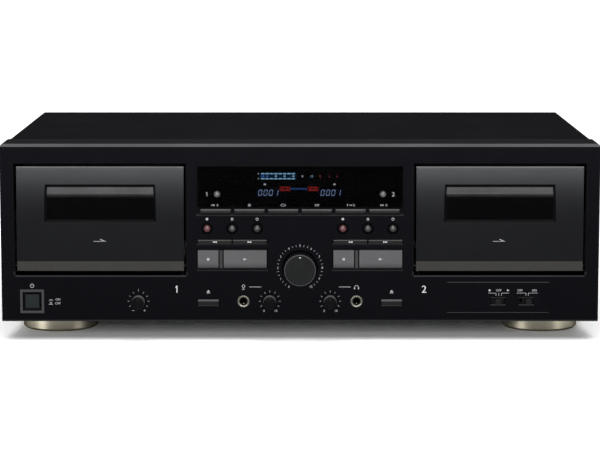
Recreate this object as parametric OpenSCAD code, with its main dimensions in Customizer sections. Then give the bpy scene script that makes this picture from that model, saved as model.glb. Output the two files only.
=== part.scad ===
// Double cassette deck of full hi-fi width, in millimetres.
// X runs to the right, Y into the depth and Z up, and the origin lies on the table under the deck's middle.
// Inside the modules, a depth is counted from the face of the front panel, and a height from the table.

/* [Case] */
// Width of the front panel
panel_w = 435; // [431:1:460]
// Height of the front panel
panel_h = 130.5; // [130:0.5:140]
// Depth of the front panel's moulding, from its face to its rear edge
panel_d = 34; // [30:1:40]
// Thickness of the front panel's face
panel_wall = 3; // [2.8:0.1:3.6]
// Thickness of the front panel's sides
panel_side_t = 3; // [2.6:0.1:3.4]
// Thickness of the front panel's top and bottom edges
panel_edge_t = 2; // [1.8:0.1:3]
// Bevel along the top of the front panel
top_bevel = 2.4; // [1:0.1:3]
// Bevel along the foot of the front panel
foot_bevel = 1.2; // [0.5:0.1:2]
// Radius of the front panel's upper corners
corner_r = 3; // [1:0.5:6]
// Depth of the case, from the front panel's face to the rear edge of the cover
case_d = 265; // [255:1:300]
// Sheet thickness of the cover
cover_t = 1; // [0.8:0.1:1.5]
// Step from each side of the front panel in to the cover
cover_inset = 2.5; // [2:0.1:2.6]
// Step from the top of the front panel down to the cover
cover_drop = 0.3; // [0.1:0.1:0.6]
// Radius of the bends along the cover's upper edges
cover_bend_r = 2; // [1.6:0.1:4]
// Sheet thickness of the chassis
chassis_t = 1; // [0.8:0.1:1.6]
// Height of the chassis' turned-up sides
flange_h = 22; // [18:1:30]
// Sheet thickness of the rear panel
rear_t = 1.2; // [1:0.1:2]
// Distance that the cover runs past the rear panel
rear_inset = 4; // [2:0.5:8]
// Depth of the flange along the top of the rear panel
rear_flange_d = 12; // [8:1:16]
// Radius of the case screws
screw_r = 1.5; // [1.2:0.1:1.8]
// Radius of the case screws' heads
screw_head_r = 3; // [2.6:0.1:3.6]
// Height of the case screws' heads
screw_head_h = 1.8; // [1.4:0.1:2.2]
// Distance that a screw reaches past the sheets it holds
screw_reach = 4; // [3:0.5:5]

/* [Feet] */
// Height of the feet
foot_h = 15; // [13:0.5:20]
// Radius of a foot
foot_r = 28.2; // [24:0.1:31]
// Distance from the middle of the deck to a foot's centre
foot_x = 181.3; // [170:0.1:183]
// Depth of a front foot's centre behind the panel's face
front_foot_d = 66; // [64:1:80]
// Distance of a rear foot's centre from the cover's rear edge
rear_foot_in = 40; // [38:1:60]
// Distance that the front panel hangs below the feet's upper faces
panel_lip = 0.5; // [0:0.1:1]
// Depth of the hollow under a foot
foot_hollow = 3; // [2:0.5:5]
// Width of the ring on which a foot stands
foot_ring = 7; // [5:0.5:9]
// Chamfer round the lower edge of a foot
foot_chamfer = 1.5; // [0.5:0.1:2]
// Radius of the well for a foot's screw
foot_well_r = 5; // [4:0.5:8]
// Depth of that well above the hollow
foot_well_d = 4; // [2.5:0.5:5]

/* [Doors] */
// Distance from the middle of the deck to the middle of a door
door_x = 145.1; // [144.6:0.1:146]
// Width of a door
door_w = 121.4; // [118:0.1:122]
// Height of a door
door_h = 76.3; // [74:0.1:78]
// Height of a door's lower edge above the front panel's lower edge
door_up = 37.2; // [36.8:0.1:38.6]
// Gap between a door's sides and its recess
door_gap = 1.6; // [1.2:0.1:2]
// Gap above a door
door_gap_top = 2.4; // [2:0.1:3.4]
// Gap below a door, which leaves room for its lower edge to swing
door_gap_foot = 3.2; // [2.6:0.1:3.4]
// Thickness of a door's face
door_t = 2.5; // [2:0.1:2.8]
// Depth of a door's rim
door_rim_d = 6; // [5.8:0.1:7]
// Width of a door's rim
door_rim_w = 2; // [1.5:0.1:3]
// Height of the sloping band along a door's foot
band_h = 7.2; // [6.8:0.1:9]
// Depth to which the sloping band falls back
band_d = 3; // [1:0.1:3.5]
// Height of the hinge above a door's lower edge
hinge_up = 3.3; // [3.2:0.1:3.6]
// Radius of a door's hinge pins
hinge_pin_r = 1.5; // [1.2:0.1:2]
// Radius of the lug that carries a hinge pin
hinge_lug_r = 3; // [2.6:0.1:3.1]
// Length of the lug that carries a hinge pin
hinge_lug_w = 4; // [3:0.5:6]
// Wall of the recess that a door sits in
recess_t = 2; // [1.6:0.1:2]
// Chamfer along the lower edge of a door's recess
lip_chamfer = 1; // [0.5:0.1:1.5]
// Height of the chamfered corners at the ends of that lip
lip_corner_h = 3; // [1:0.5:6]

// Height of the curved upper part of a door's face
face_curve_h = 38; // [30:1:42]
// Radius of that curve, which leans the top of the face back
face_curve_r = 340; // [320:10:600]
// Slope of the door's inner face behind that curve, at its top
face_back = 1.2; // [0.8:0.1:1.6]

/* [Door windows] */
// Width of the window opening in a door
window_w = 81.2; // [70:0.1:84]
// Height of the window opening in a door
window_h = 27.7; // [24:0.1:30]
// Height of the window opening above the door's lower edge
window_up = 35.7; // [34:0.1:38]
// Width of the slope round the window opening
window_slope = 1.85; // [0.5:0.05:2.5]
// Thickness of the lens
lens_t = 1.6; // [1.2:0.1:2]
// Overlap of the lens behind the door's face
lens_lap = 3.5; // [2:0.5:4]
// Lap of the window behind the lower edge of its opening
lens_foot_lap = 1.5; // [1:0.1:2]
// Radius of the curve at the top of the lens
lens_curve_r = 12; // [11.8:0.2:14]
// Angle over which the top of the lens curves back
lens_curve_a = 38; // [20:1:40]
// Distance below the top of the opening at which the lens starts to curve
lens_curve_down = 8; // [6:0.5:9]

/* [Cassettes] */
// Width of a compact cassette
cassette_w = 100.4; // [100:0.1:101]
// Height of a compact cassette
cassette_h = 63.8; // [63.4:0.1:64]
// Thickness of a compact cassette at its edges
cassette_t = 8.8; // [8.6:0.1:9]
// Distance between the hubs of a cassette
hub_spacing = 42.5; // [42:0.1:43]
// Height of the hubs above the cassette's lower edge
hub_up = 34.7; // [34:0.1:35.4]
// Height of a seated cassette's lower edge above the door's lower edge
cassette_up = 9.8; // [9.6:0.1:10.4]
// Play between a cassette and its holder, in width and in thickness
cassette_play = 0.6; // [0.4:0.1:0.8]
// Wall of the cassette holder
holder_t = 1.2; // [1:0.1:1.4]
// Width of the open middle at the holder's foot, where the heads come in
holder_mouth_w = 76; // [74:1:80]
// Width of the lips that hold a cassette's back
holder_lip_w = 6; // [4:0.5:8]

/* [Transports] */
// Half the width of a transport's front plate
plate_half_w = 57.5; // [57:0.5:60]
// Thickness of the transport's plates
plate_t = 1.5; // [1.2:0.1:2]
// Gap between a door's recess and the front plate
plate_gap = 3.5; // [3.4:0.1:5]
// Height of the front plate's lower edge above the front panel's lower edge
plate_up = 23; // [22.8:0.1:23.4]
// Radius of the posts that carry a front plate, and of the columns behind it
post_r = 3; // [2.5:0.1:3.2]
// Wall of the bearings that hold the spindles and the capstan
bearing_wall = 2; // [1.2:0.1:2.4]
// Height of the lower posts above the front panel's lower edge
low_post_up = 26.5; // [26.2:0.1:27.5]
// Distance of the upper posts below the top of the front panel
high_post_down = 8; // [7:0.1:8.4]
// Distance of the posts from the middle of a door
post_x = 50; // [46:0.5:52]
// Radius of a spindle's shaft
spindle_shaft_r = 1.5; // [1.2:0.1:2]
// Radius of a spindle's core
spindle_r = 3; // [2.6:0.1:3.4]
// Reach of a spindle's vanes from its axis
vane_r = 4.3; // [3.8:0.1:4.5]
// Depth of a spindle's tip behind the front panel's face
spindle_tip_d = 9.5; // [8.6:0.1:12]
// Radius of the reel discs
reel_r = 14; // [12:0.5:16]
// Thickness of the reel discs
reel_t = 4; // [3:0.5:4.5]
// Thickness of a spindle's vanes
vane_t = 1.2; // [0.8:0.1:1.6]
// Length of a spindle's tip
spindle_tip_l = 2; // [1:0.1:2.4]
// Length of the bearings behind the front plate that hold the spindles
spindle_bearing_l = 4; // [3:0.5:4.4]
// Radius of the capstan
capstan_r = 1.25; // [1:0.05:1.5]
// Distance of the capstan from the middle of the cassette
capstan_x = 27; // [26:0.5:29]
// Height of the capstan above the cassette's lower edge
capstan_up = 4.5; // [4.5:0.1:5]
// Length of the capstan's bearing behind the front plate
capstan_bearing_l = 9.7; // [9.6:0.1:12]
// Radius of the flywheel
flywheel_r = 22; // [18:0.5:22.5]
// Thickness of the flywheel
flywheel_t = 7; // [5:0.5:10]
// Width of the flywheel's rim
flywheel_rim_w = 5; // [3:0.5:7]
// Depth of the flywheel's hollow
flywheel_hollow_d = 2; // [1:0.5:3]
// Distance from the middle of the cassette to the capstan motor's shaft
motor_x = 29; // [27:0.5:33]
// Height of the motor's shaft below the capstan
motor_down = 4; // [0:0.5:6]
// Radius of the capstan motor
motor_r = 15; // [12:0.5:16]
// Length of the capstan motor
motor_l = 22; // [16:1:30]
// Radius of the motor's pulley
pulley_r = 4.5; // [3:0.1:6]
// Distance that the pulley reaches past the belt on each side
pulley_lip = 1; // [0.5:0.1:1.4]
// Width of the drive belt
belt_w = 3; // [2:0.5:4]
// Thickness of the drive belt
belt_t = 0.8; // [0.6:0.1:1.2]
// Radius of the reel motor
reel_motor_r = 9; // [8:0.5:10]
// Length of the reel motor
reel_motor_l = 16; // [12:1:20]

/* [Heads] */
// Travel of the head carriage
carriage_travel = 4; // [3:0.5:4]
// Half the width of the head carriage
carriage_half_w = 36; // [35:0.5:37]
// Thickness of the head carriage
carriage_t = 1.2; // [1:0.1:1.5]
// Gap between the resting heads and the cassette's lower edge
head_gap = 1.2; // [1:0.1:2]
// Width of the record and playback head
head_w = 12; // [10:0.5:14]
// Width of the erase head
erase_w = 7; // [5:0.5:9]
// Distance of the erase head from the middle
erase_x = 17; // [15:0.5:22]
// Depth of the heads, measured through the cassette
head_d = 7; // [6:0.1:7]
// Radius of a head's crowned face
head_crown_r = 11; // [8:0.5:16]
// Height of the arms that carry the heads
head_arm_h = 5; // [3:0.5:6]
// Radius of the pinch roller
roller_r = 5.5; // [5:0.1:5.6]
// Radius of the pinch roller's pin
roller_pin_r = 1; // [0.8:0.1:1.5]
// Radius of the studs that guide the carriage
stud_r = 1.5; // [1.2:0.1:1.8]
// Distance of the studs from the middle
stud_x = 31; // [29:0.5:33]

/* [Display] */
// Width of the display window
display_w = 148.4; // [140:0.1:150]
// Height of the display window
display_h = 29.5; // [28:0.1:30]
// Height of the display window's lower edge above the front panel's lower edge
display_up = 84; // [83.8:0.1:86]
// Thickness of the display window
display_t = 2; // [1.5:0.1:2.2]
// Width of the display tube
tube_w = 82; // [70:1:90]
// Height of the display tube
tube_h = 22; // [18:0.5:23]
// Thickness of the display tube
tube_t = 6; // [4:0.5:6.5]
// Gap between the panel's face and the display tube
tube_gap = 1.5; // [0.5:0.1:2]
// Step from the edges of the display tube in to its holder
tube_holder_in = 6; // [3:0.5:8]

/* [Keys and buttons] */
// Travel of the keys and buttons
key_travel = 0.8; // [0.5:0.1:1]
// Gap all round a key in its opening
key_gap = 0.4; // [0.3:0.05:0.5]
// Thickness of the flange that holds a key behind the panel
key_flange_t = 1.2; // [1:0.1:1.5]
// Distance that a flange reaches past its opening
key_flange_lap = 0.9; // [0.6:0.1:1]
// Radius of a key's stem
key_stem_r = 1.5; // [1:0.1:1.8]
// Width of a thin key
thin_w = 21.8; // [20:0.1:22]
// Height of a thin key
thin_h = 2.5; // [2:0.1:2.8]
// Distance between thin keys
thin_pitch = 24.5; // [24.3:0.1:25]
// Height of the thin keys above the front panel's lower edge
thin_up = 81.1; // [80.8:0.1:81.2]
// Distance that the thin keys stand out of their trough
thin_out = 1; // [0.5:0.1:2]
// Depth of the trough that the thin keys sit in
trough_d = 1; // [0.5:0.1:1.4]
// Distance that the sunk surround reaches past the top of the display window
surround_up = 3; // [1:0.5:5]
// Distance that the sunk surround reaches past the ends of the display window
surround_side = 1.2; // [0.6:0.1:1.6]
// Chamfer along the lower edges of the sunk fields
field_chamfer = 0.5; // [0.2:0.1:0.6]
// Chamfer round the holes of the round buttons
round_chamfer = 0.4; // [0.2:0.1:0.5]
// Distance from the middle of the thin keys down to the trough's lower edge
trough_below = 2.8; // [2:0.1:3.4]
// Radius of the small round buttons
round_r = 2.6; // [2:0.1:3]
// Radius of the holes that the small round buttons sit in
round_hole_r = 3.9; // [3.4:0.1:4]
// Distance that the small round buttons stand out
round_out = 1.2; // [0.5:0.1:3]
// Distance between the small round buttons
round_pitch = 18.2; // [16:0.1:18.5]
// Height of the small round buttons above the front panel's lower edge
round_up = 68.5; // [67:0.1:69.5]
// Radius of the counter reset buttons
reset_r = 2.35; // [2:0.05:2.6]
// Distance of the counter reset buttons from the middle
reset_x = 60.2; // [58:0.1:62]
// Height of the counter reset buttons above the front panel's lower edge
reset_up = 93.6; // [92:0.1:98]
// Distance from the middle of the deck to the outer edge of the transport keys
keys_x = 74.3; // [74:0.1:75]
// Width of a rewind or forward key
wind_w = 24.5; // [20:0.1:24.6]
// Height of a rewind or forward key
wind_h = 3; // [2.5:0.1:4]
// Gap between a rewind key and a forward key
wind_gap = 1; // [0.8:0.1:1.5]
// Height of the rewind and forward keys above the front panel's lower edge
wind_up = 58.7; // [58:0.1:59.5]
// Width of a stop key
stop_w = 15; // [13:0.1:16]
// Width of a play key
play_w = 31.2; // [28:0.1:31.4]
// Width of the rib between a stop key and a play key
rib_w = 2.1; // [1.5:0.1:2.5]
// Gap on each side of that rib
rib_gap = 0.85; // [0.8:0.05:1]
// Height of the stop and play keys
play_h = 13.1; // [12:0.1:13.4]
// Height of the middle of the stop and play keys above the front panel's lower edge
play_up = 46.05; // [45.5:0.05:46.2]
// Margin of the sunk field round the stop and play keys
field_margin = 0.9; // [0.6:0.1:1.2]
// Extra depth of that field below the keys
field_foot = 0.7; // [0.2:0.1:1]
// Depth of the sunk field
field_d = 1; // [0.6:0.1:1.4]
// Distance that the transport keys stand out of the panel's face
play_out = 0.8; // [0.2:0.1:2]
// Width of an eject key
eject_w = 15; // [12:0.1:16]
// Height of an eject key
eject_h = 4.7; // [4:0.1:6]
// Distance that an eject key stands out
eject_out = 1.5; // [0.5:0.1:3]
// Size of the square power button
power_w = 10.5; // [9:0.1:11]
// Size of the power button's stem
power_stem_w = 5; // [4:0.1:7]
// Distance of the power button from the middle of the deck
power_x = 195.3; // [194:0.1:196.6]
// Size of the sunk square that the power button sits in
power_well = 13.8; // [13:0.1:14]
// Width of the frame round the power button
power_frame = 1.8; // [1:0.1:1.8]
// Distance that the frame stands out
power_frame_out = 0.6; // [0.3:0.1:1]
// Travel of the power button
power_travel = 3; // [2:0.1:3.5]
// Depth of the pressed power button's face behind the panel's face
power_in = 0.6; // [0:0.1:1.5]

/* [Knobs, jacks and switches] */
// Height of the lower row of controls above the front panel's lower edge
low_row_up = 15; // [14.6:0.1:15.2]
// Radius of the large level knob at its face
knob_r = 11.45; // [10:0.05:12]
// Distance that the large level knob stands out
knob_out = 14; // [10:0.5:20]
// Radius of the sunk ring round the large level knob
knob_well_r = 12.9; // [12.6:0.1:14]
// Depth of that ring
knob_well_d = 1.2; // [0.6:0.1:1.4]
// Height of the large level knob above the front panel's lower edge
knob_up = 39.7; // [39:0.1:40.5]
// Radius of the large level knob's shaft
knob_shaft_r = 3; // [2.5:0.1:3.2]
// Radius of a small knob
small_r = 4.4; // [4:0.1:4.8]
// Distance that a small knob stands out
small_out = 9; // [6:0.5:12]
// Radius of a small knob's shaft
small_shaft_r = 2; // [1.5:0.1:2.4]
// Gap round a small knob in its sunk ring
small_well_gap = 0.7; // [0.4:0.1:1]
// Depth of the sunk ring round a small knob
small_well_d = 0.8; // [0.5:0.1:1.2]
// Distance of the two small level knobs from the middle
small_x = 22; // [20:0.1:24]
// Distance of the pitch knob from the middle
pitch_x = 117.8; // [112:0.1:124]
// Distance of the two jacks from the middle
jack_x = 41.2; // [38:0.1:44]
// Radius of a jack's bore
jack_bore_r = 3.2; // [3.15:0.05:3.3]
// Radius of the ring round a jack
jack_ring_r = 4.5; // [4:0.1:5]
// Distance that the ring round a jack stands out
jack_ring_out = 0.8; // [0.4:0.1:1.5]
// Length of a jack behind the panel's face
jack_l = 34; // [33:1:38]
// Width of a jack's housing
jack_w = 12; // [11:0.5:14]
// Distance of the timer switch from the middle
timer_x = 144.5; // [142:0.1:147]
// Distance of the noise reduction switch from the middle
noise_x = 165.1; // [162:0.1:168]
// Width of a slide switch's slot
slide_slot_w = 10.9; // [10.5:0.1:12]
// Height of a slide switch's slot
slide_slot_h = 5; // [4.8:0.1:6]
// Width of a slide switch's button
slide_w = 4; // [3:0.1:4.4]
// Height of a slide switch's button
slide_h = 4; // [3.6:0.1:4.2]
// Distance that a slide switch's button stands out
slide_out = 0.9; // [0.3:0.1:2]
// Thickness of the tongue that reaches into a slide switch
slide_tongue_w = 2; // [1.6:0.1:2.4]
// Travel of the timer switch to each side
timer_travel = 2.5; // [2:0.1:2.6]
// Travel of the noise reduction switch from end to end
noise_travel = 3.2; // [2:0.1:4.4]

/* [Rear] */
// Distance that the phono sockets stand out behind the cover
socket_out = 6; // [4:0.5:8]
// Radius of a phono socket
socket_r = 4.15; // [4.1:0.05:4.2]
// Radius of the collar round a phono socket in the rear panel
socket_collar_r = 5.4; // [4.8:0.1:6]
// Radius of a phono socket's bore
socket_bore_r = 1.6; // [1.55:0.05:1.7]
// Distance between phono sockets
socket_pitch = 15; // [12:0.5:20]
// Distance of the phono sockets from the middle of the deck
socket_x = 165; // [120:1:180]
// Height of the lower phono sockets above the chassis
socket_up = 30; // [25:1:60]
// Distance of the mains inlet from the middle of the deck
inlet_x = 170; // [120:1:185]
// Height of the mains inlet above the chassis
inlet_up = 30; // [20:1:60]
// Width of the mains inlet's cavity
inlet_w = 16; // [15:0.5:18]
// Height of the mains inlet's cavity
inlet_h = 8.4; // [8:0.1:9]
// Depth of the mains inlet's cavity
inlet_d = 12; // [10:0.5:14]
// Wall of the mains inlet
inlet_wall = 2.5; // [2:0.1:3]
// Radius of the mains inlet's pins
inlet_pin_r = 1.2; // [1:0.1:1.3]
// Distance of those pins from the middle of the inlet
inlet_pin_x = 4.3; // [4.3:0.1:5]
// Depth of the blocks that carry the phono sockets and the mains inlet
socket_block_d = 10; // [8:0.5:12]

/* [Inside] */
// Distance from the back of the panel's face to the front circuit board
board_gap = 12.5; // [12:0.1:13]
// Thickness of the circuit boards
board_t = 1.6; // [1.2:0.1:2]
// Height of the main circuit board above the chassis
board_up = 8; // [6:0.5:10]
// Height of a key's switch on the circuit board
switch_h = 5; // [4:0.1:5.5]
// Width of a key's switch
switch_w = 6; // [4:0.5:7]
// Width of the large level control's body
large_pot_w = 17; // [14:0.5:20]
// Width of a small level control's body
small_pot_w = 10; // [9:0.5:12]
// Thickness of those bodies
pot_t = 7; // [5:0.5:8]
// Width of the power switch's body
power_switch_w = 13; // [11:0.5:14]
// Length of the power switch's body
power_switch_l = 14; // [10:0.5:18]
// Width of a slide switch's body
slide_body_w = 14; // [12:0.5:16]
// Height of a slide switch's body
slide_body_h = 8; // [7:0.5:10]
// Height of the small boards behind the lower row of controls
side_board_h = 18; // [17:0.5:20]
// Width of the board behind the pitch knob
pitch_board_w = 26; // [24:1:32]
// Width of the board behind the slide switches
slide_board_w = 46; // [44:1:56]
// Width of the board behind the power switch
power_switch_board_w = 25; // [24.6:0.2:28]
// Length of the power supply's board
power_board_l = 86; // [80:1:90]
// Clearance of the boards beside the jacks
board_margin = 1; // [0.6:0.1:1.2]
// Radius of the posts that carry the boards behind the panel
board_post_r = 1.8; // [1.4:0.1:2.2]
// Width of the transformer's core
core_w = 60; // [50:1:66]
// Height of the transformer's core
core_h = 50; // [44:1:60]
// Thickness of the transformer's core
core_d = 30; // [24:1:36]
// Distance that the winding stands out of the core at the front and at the rear
winding_out = 8; // [5:0.5:12]
// Length of the feet at each side of the transformer
core_foot_l = 12; // [8:1:14]
// Width of those feet
core_foot_w = 24; // [16:1:26]
// Distance of the transformer's middle behind the power supply's board
core_gap = 52; // [46:1:54]

/* [Hidden] */
$fn = 64;

// Clearances
run_gap = 0.05;
clear = 0.3;
belt_gap = 0.15;
cutout_gap = 0.2;

// Places on the case
front_y = knob_out - (knob_out + case_d + socket_out) / 2;
panel_z = foot_h - panel_lip;
panel_top = panel_z + panel_h;
cover_top = panel_top - cover_drop;
cover_half_w = panel_w / 2 - cover_inset;
inner_half_w = cover_half_w - cover_t;
floor_z = foot_h + chassis_t;
rear_out_d = case_d - rear_inset;
rear_in_d = rear_out_d - rear_t;
low_row_z = panel_z + low_row_up;
screw_hole_r = screw_r + 0.1;
side_screw_z = foot_h + flange_h / 2;
side_screw_ds = [front_foot_d, case_d - rear_foot_in];
rear_screw_xs = [-cover_half_w * 0.85, -cover_half_w * 0.3, cover_half_w * 0.3, cover_half_w * 0.85];
rear_screw_z = floor_z + 8;
foot_places = [
    for (s = [-1, 1]) for (d = [front_foot_d, case_d - rear_foot_in]) [s * foot_x, d]
];

// Places on a door
door_z = panel_z + door_up;
hinge_d = door_rim_d;
hinge_z = door_z + hinge_up;
window_mid_z = door_z + window_up + window_h / 2;
lens_w = window_w - 2 * window_slope;
recess_half_w = door_w / 2 + door_gap;
recess_low_z = door_z - door_gap_foot;
recess_high_z = door_z + door_h + door_gap_top;
recess_outer_half_w = recess_half_w + recess_t;
recess_edge_x = door_x - recess_outer_half_w;
cass_z = door_z + cassette_up;
hub_z = cass_z + hub_up;
holder_d = door_rim_d;
slot_half_w = (cassette_w + cassette_play) / 2;
slot_d0 = holder_d + holder_t;
slot_d1 = slot_d0 + cassette_t + cassette_play;
cass_d = (slot_d0 + slot_d1) / 2;
holder_back_d = slot_d1 + holder_t;
recess_d = holder_back_d + 0.7;

// Places on a transport
plate_d = recess_d + plate_gap;
plate_back_d = plate_d + plate_t;
plate_low_z = panel_z + plate_up;
low_post_z = panel_z + low_post_up;
high_post_z = panel_top - high_post_down;
plate_high_z = high_post_z + post_r + 1;
capstan_z = cass_z + capstan_up;
capstan_bearing_d = plate_back_d + capstan_bearing_l;
flywheel_d = capstan_bearing_d + clear;
flywheel_back_d = flywheel_d + flywheel_t;
bracket_d = flywheel_back_d + 1.5;
bracket_back_d = bracket_d + plate_t;
bracket_low_z = capstan_z - flywheel_r - 3;
bracket_high_z = capstan_z + flywheel_r + 3;
spindle_bearing_d = plate_back_d + spindle_bearing_l;
reel_d = spindle_bearing_d + clear;
carriage_back_d = plate_d - clear;
carriage_d = carriage_back_d - carriage_t;
head_d0 = cass_d - head_d / 2;
head_top_z = cass_z - head_gap;
roller_z = capstan_z - capstan_r - roller_r - 0.2 - carriage_travel;
carriage_top_z = roller_z + 4;
stud_z = low_post_z + 0.8;
carriage_low_z = stud_z - carriage_travel - stud_r - clear - 2;
motor_z = capstan_z - motor_down;
belt_d = flywheel_d + (flywheel_t - belt_w) / 2;
column_x = plate_half_w - post_r - 1;
column_zs = [bracket_low_z + post_r + 1, bracket_high_z - post_r - 1];

// Places of the controls
thin_z = panel_z + thin_up;
round_z = panel_z + round_up;
wind_z = panel_z + wind_up;
play_z = panel_z + play_up;
knob_z = panel_z + knob_up;
reset_z = panel_z + reset_up;
display_z = panel_z + display_up + display_h / 2;
keys_w = stop_w + 2 * rib_gap + rib_w + play_w;
eject_x = keys_x - eject_w / 2;
eject_z = low_row_z - 1;
trough_low_z = thin_z - trough_below;
surround_high_z = panel_z + display_up + display_h + surround_up;
surround_half_w = display_w / 2 + surround_side;
board_d = panel_wall + board_gap;
board_back_d = board_d + board_t;
stem_end_d = board_d - switch_h - key_travel - 0.2;
flange_d = panel_wall + clear;
power_flange_d = panel_wall + clear + power_travel;
power_switch_d = power_flange_d + key_flange_t + clear + 1.5;
slide_body_d = flange_d + key_flange_t + clear;
noise_rest = noise_travel / 2;
pot_d = board_d - pot_t;
tube_d = panel_wall + tube_gap;
slide_board_x = (timer_x + noise_x) / 2;

// Places of the boards and of the posts that carry them
jack_in_x = jack_x - jack_w / 2 - board_margin;
jack_out_x = jack_x + jack_w / 2 + board_margin;
low_board_z = panel_z + 5.5;
low_board_top = low_row_z + jack_w / 2 + board_margin;
front_board_low_z = low_board_top + board_margin;
front_board_high_z = panel_top - 6;
front_board_half_w = recess_edge_x - 1.5;
eject_post_z = low_board_top - board_post_r - 0.2;
front_posts = [
    for (s = [-1, 1]) for (p = [
        [60, high_post_z - 2], [48, low_post_z + 2],
        [jack_out_x + board_post_r + 0.2, eject_post_z],
        [front_board_half_w - board_post_r - 0.2, eject_post_z]
    ]) [s * p[0], p[1]]
];
side_post_z = low_row_z + side_board_h / 2 - board_post_r - 0.2;
pitch_post_xs = [for (s = [-1, 1]) -pitch_x + s * (pitch_board_w / 2 - board_post_r - 2)];
slide_post_xs = [for (s = [-1, 1]) slide_board_x + s * (slide_board_w / 2 - board_post_r - 1)];
power_post_xs = [for (s = [-1, 1]) -power_x + s * (power_switch_board_w / 2 - board_post_r - 0.3)];
main_board_z = floor_z + board_up;
board_front_d = panel_d + 12;
main_board_x0 = -100;
main_board_x1 = inner_half_w - 8;
main_board_l = rear_in_d - 20 - board_front_d;
power_board_x0 = -inner_half_w + 8;
power_board_x1 = main_board_x0 - 4;
post_in = 8;

// Placing and plain bodies: x to the right, d into the depth, z up

module at(x, d, z) {
    translate([x, front_y + d, z]) children();
}

module slab(w, h, d0, d1) {
    translate([-w / 2, d0, -h / 2]) cube([w, d1 - d0, h]);
}

module rod(r, d0, d1) {
    translate([0, d0, 0]) rotate([-90, 0, 0]) cylinder(r = r, h = d1 - d0);
}

module cone(r0, r1, d0, d1) {
    translate([0, d0, 0]) rotate([-90, 0, 0]) cylinder(r1 = r0, r2 = r1, h = d1 - d0);
}

module along_x(w) {
    translate([-w / 2, 0, 0]) rotate([90, 0, 90]) linear_extrude(w) children();
}

module along_y(d0, d1) {
    translate([0, d1, 0]) rotate([90, 0, 0]) linear_extrude(d1 - d0) children();
}

module pin_x(r, x0, x1) {
    translate([x0, 0, 0]) rotate([0, 90, 0]) cylinder(r = r, h = x1 - x0);
}

// An upright rectangle with its two upper corners rounded
module arch_outline(half_w, z0, z1, r) {
    translate([-half_w, z0]) square([2 * half_w, z1 - r - z0]);
    translate([-half_w + r, z0]) square([2 * (half_w - r), z1 - z0]);
    for (s = [-1, 1]) translate([s * (half_w - r), z1 - r]) circle(r);
}

// Both doors and transports: deck 1 on the left, deck 2 on the right
module each_deck() {
    for (s = [-1, 1]) at(s * door_x, 0, 0) children();
}

function deck_x(n) = n == 1 ? -door_x : door_x;
function deck_side(n) = n == 1 ? -1 : 1;

// The transport keys lie in the same order on both decks, counted from the left edge of their group
function keys_left(n) = n == 1 ? -keys_x : keys_x - keys_w;
function stop_at(n) = keys_left(n) + stop_w / 2;
function rib_at(n) = keys_left(n) + stop_w + rib_gap + rib_w / 2;
function play_at(n) = keys_left(n) + keys_w - play_w / 2;
function wind_at(n, i) = keys_left(n) + wind_w / 2 + i * (wind_w + wind_gap);
function round_at(n, i) = keys_left(n) + keys_w / 2 + (i - 1) * round_pitch;

// The front panel

module panel_shell() {
    difference() {
        intersection() {
            along_x(panel_w) polygon([
                [foot_bevel, panel_z], [0, panel_z + foot_bevel],
                [0, panel_top - top_bevel], [top_bevel * 0.9, panel_top],
                [panel_d, panel_top], [panel_d, panel_z]
            ]);
            along_y(0, panel_d) arch_outline(panel_w / 2, panel_z, panel_top, corner_r);
        }
        translate([-panel_w / 2 + panel_side_t, panel_wall, panel_z + panel_edge_t])
            cube([panel_w - 2 * panel_side_t, panel_d, panel_h - 2 * panel_edge_t]);
    }
}

module recess_block(grow, d0, d1) {
    translate([-recess_half_w - grow, d0, recess_low_z - grow])
        cube([2 * (recess_half_w + grow), d1 - d0, recess_high_z - recess_low_z + 2 * grow]);
}

// The posts behind the panel's face that carry the transports and the boards
module panel_posts() {
    each_deck() for (s = [-1, 1]) {
        translate([s * post_x, 0, low_post_z]) rod(post_r, panel_wall - 1, plate_d);
        translate([s * post_x, 0, high_post_z]) rod(post_r, panel_wall - 1, plate_d);
    }
    for (p = front_posts) at(p[0], 0, p[1]) rod(board_post_r, panel_wall - 1, board_d);
    for (x = concat(pitch_post_xs, slide_post_xs)) at(x, 0, side_post_z)
        rod(board_post_r, panel_wall - 1, board_d);
    for (x = power_post_xs) at(x, 0, low_row_z)
        rod(board_post_r, panel_wall - 1, power_switch_d + power_switch_l);
}

module key_opening(w, h) {
    slab(w + 2 * key_gap, h + 2 * key_gap, -5, panel_wall + 1);
}

// A field let into the panel's face, with a chamfer along its lower edge
module sunk_field(x, half_w, z0, z1, depth) {
    at(x, 0, (z0 + z1) / 2) slab(2 * half_w, z1 - z0, -5, depth);
    at(x, 0, z0) lower_chamfer(half_w, field_chamfer);
}

module lower_chamfer(half_w, chamfer) {
    along_x(2 * half_w) polygon([[-1, -chamfer - 1], [-1, 1], [chamfer + 1, 1]]);
}

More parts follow.
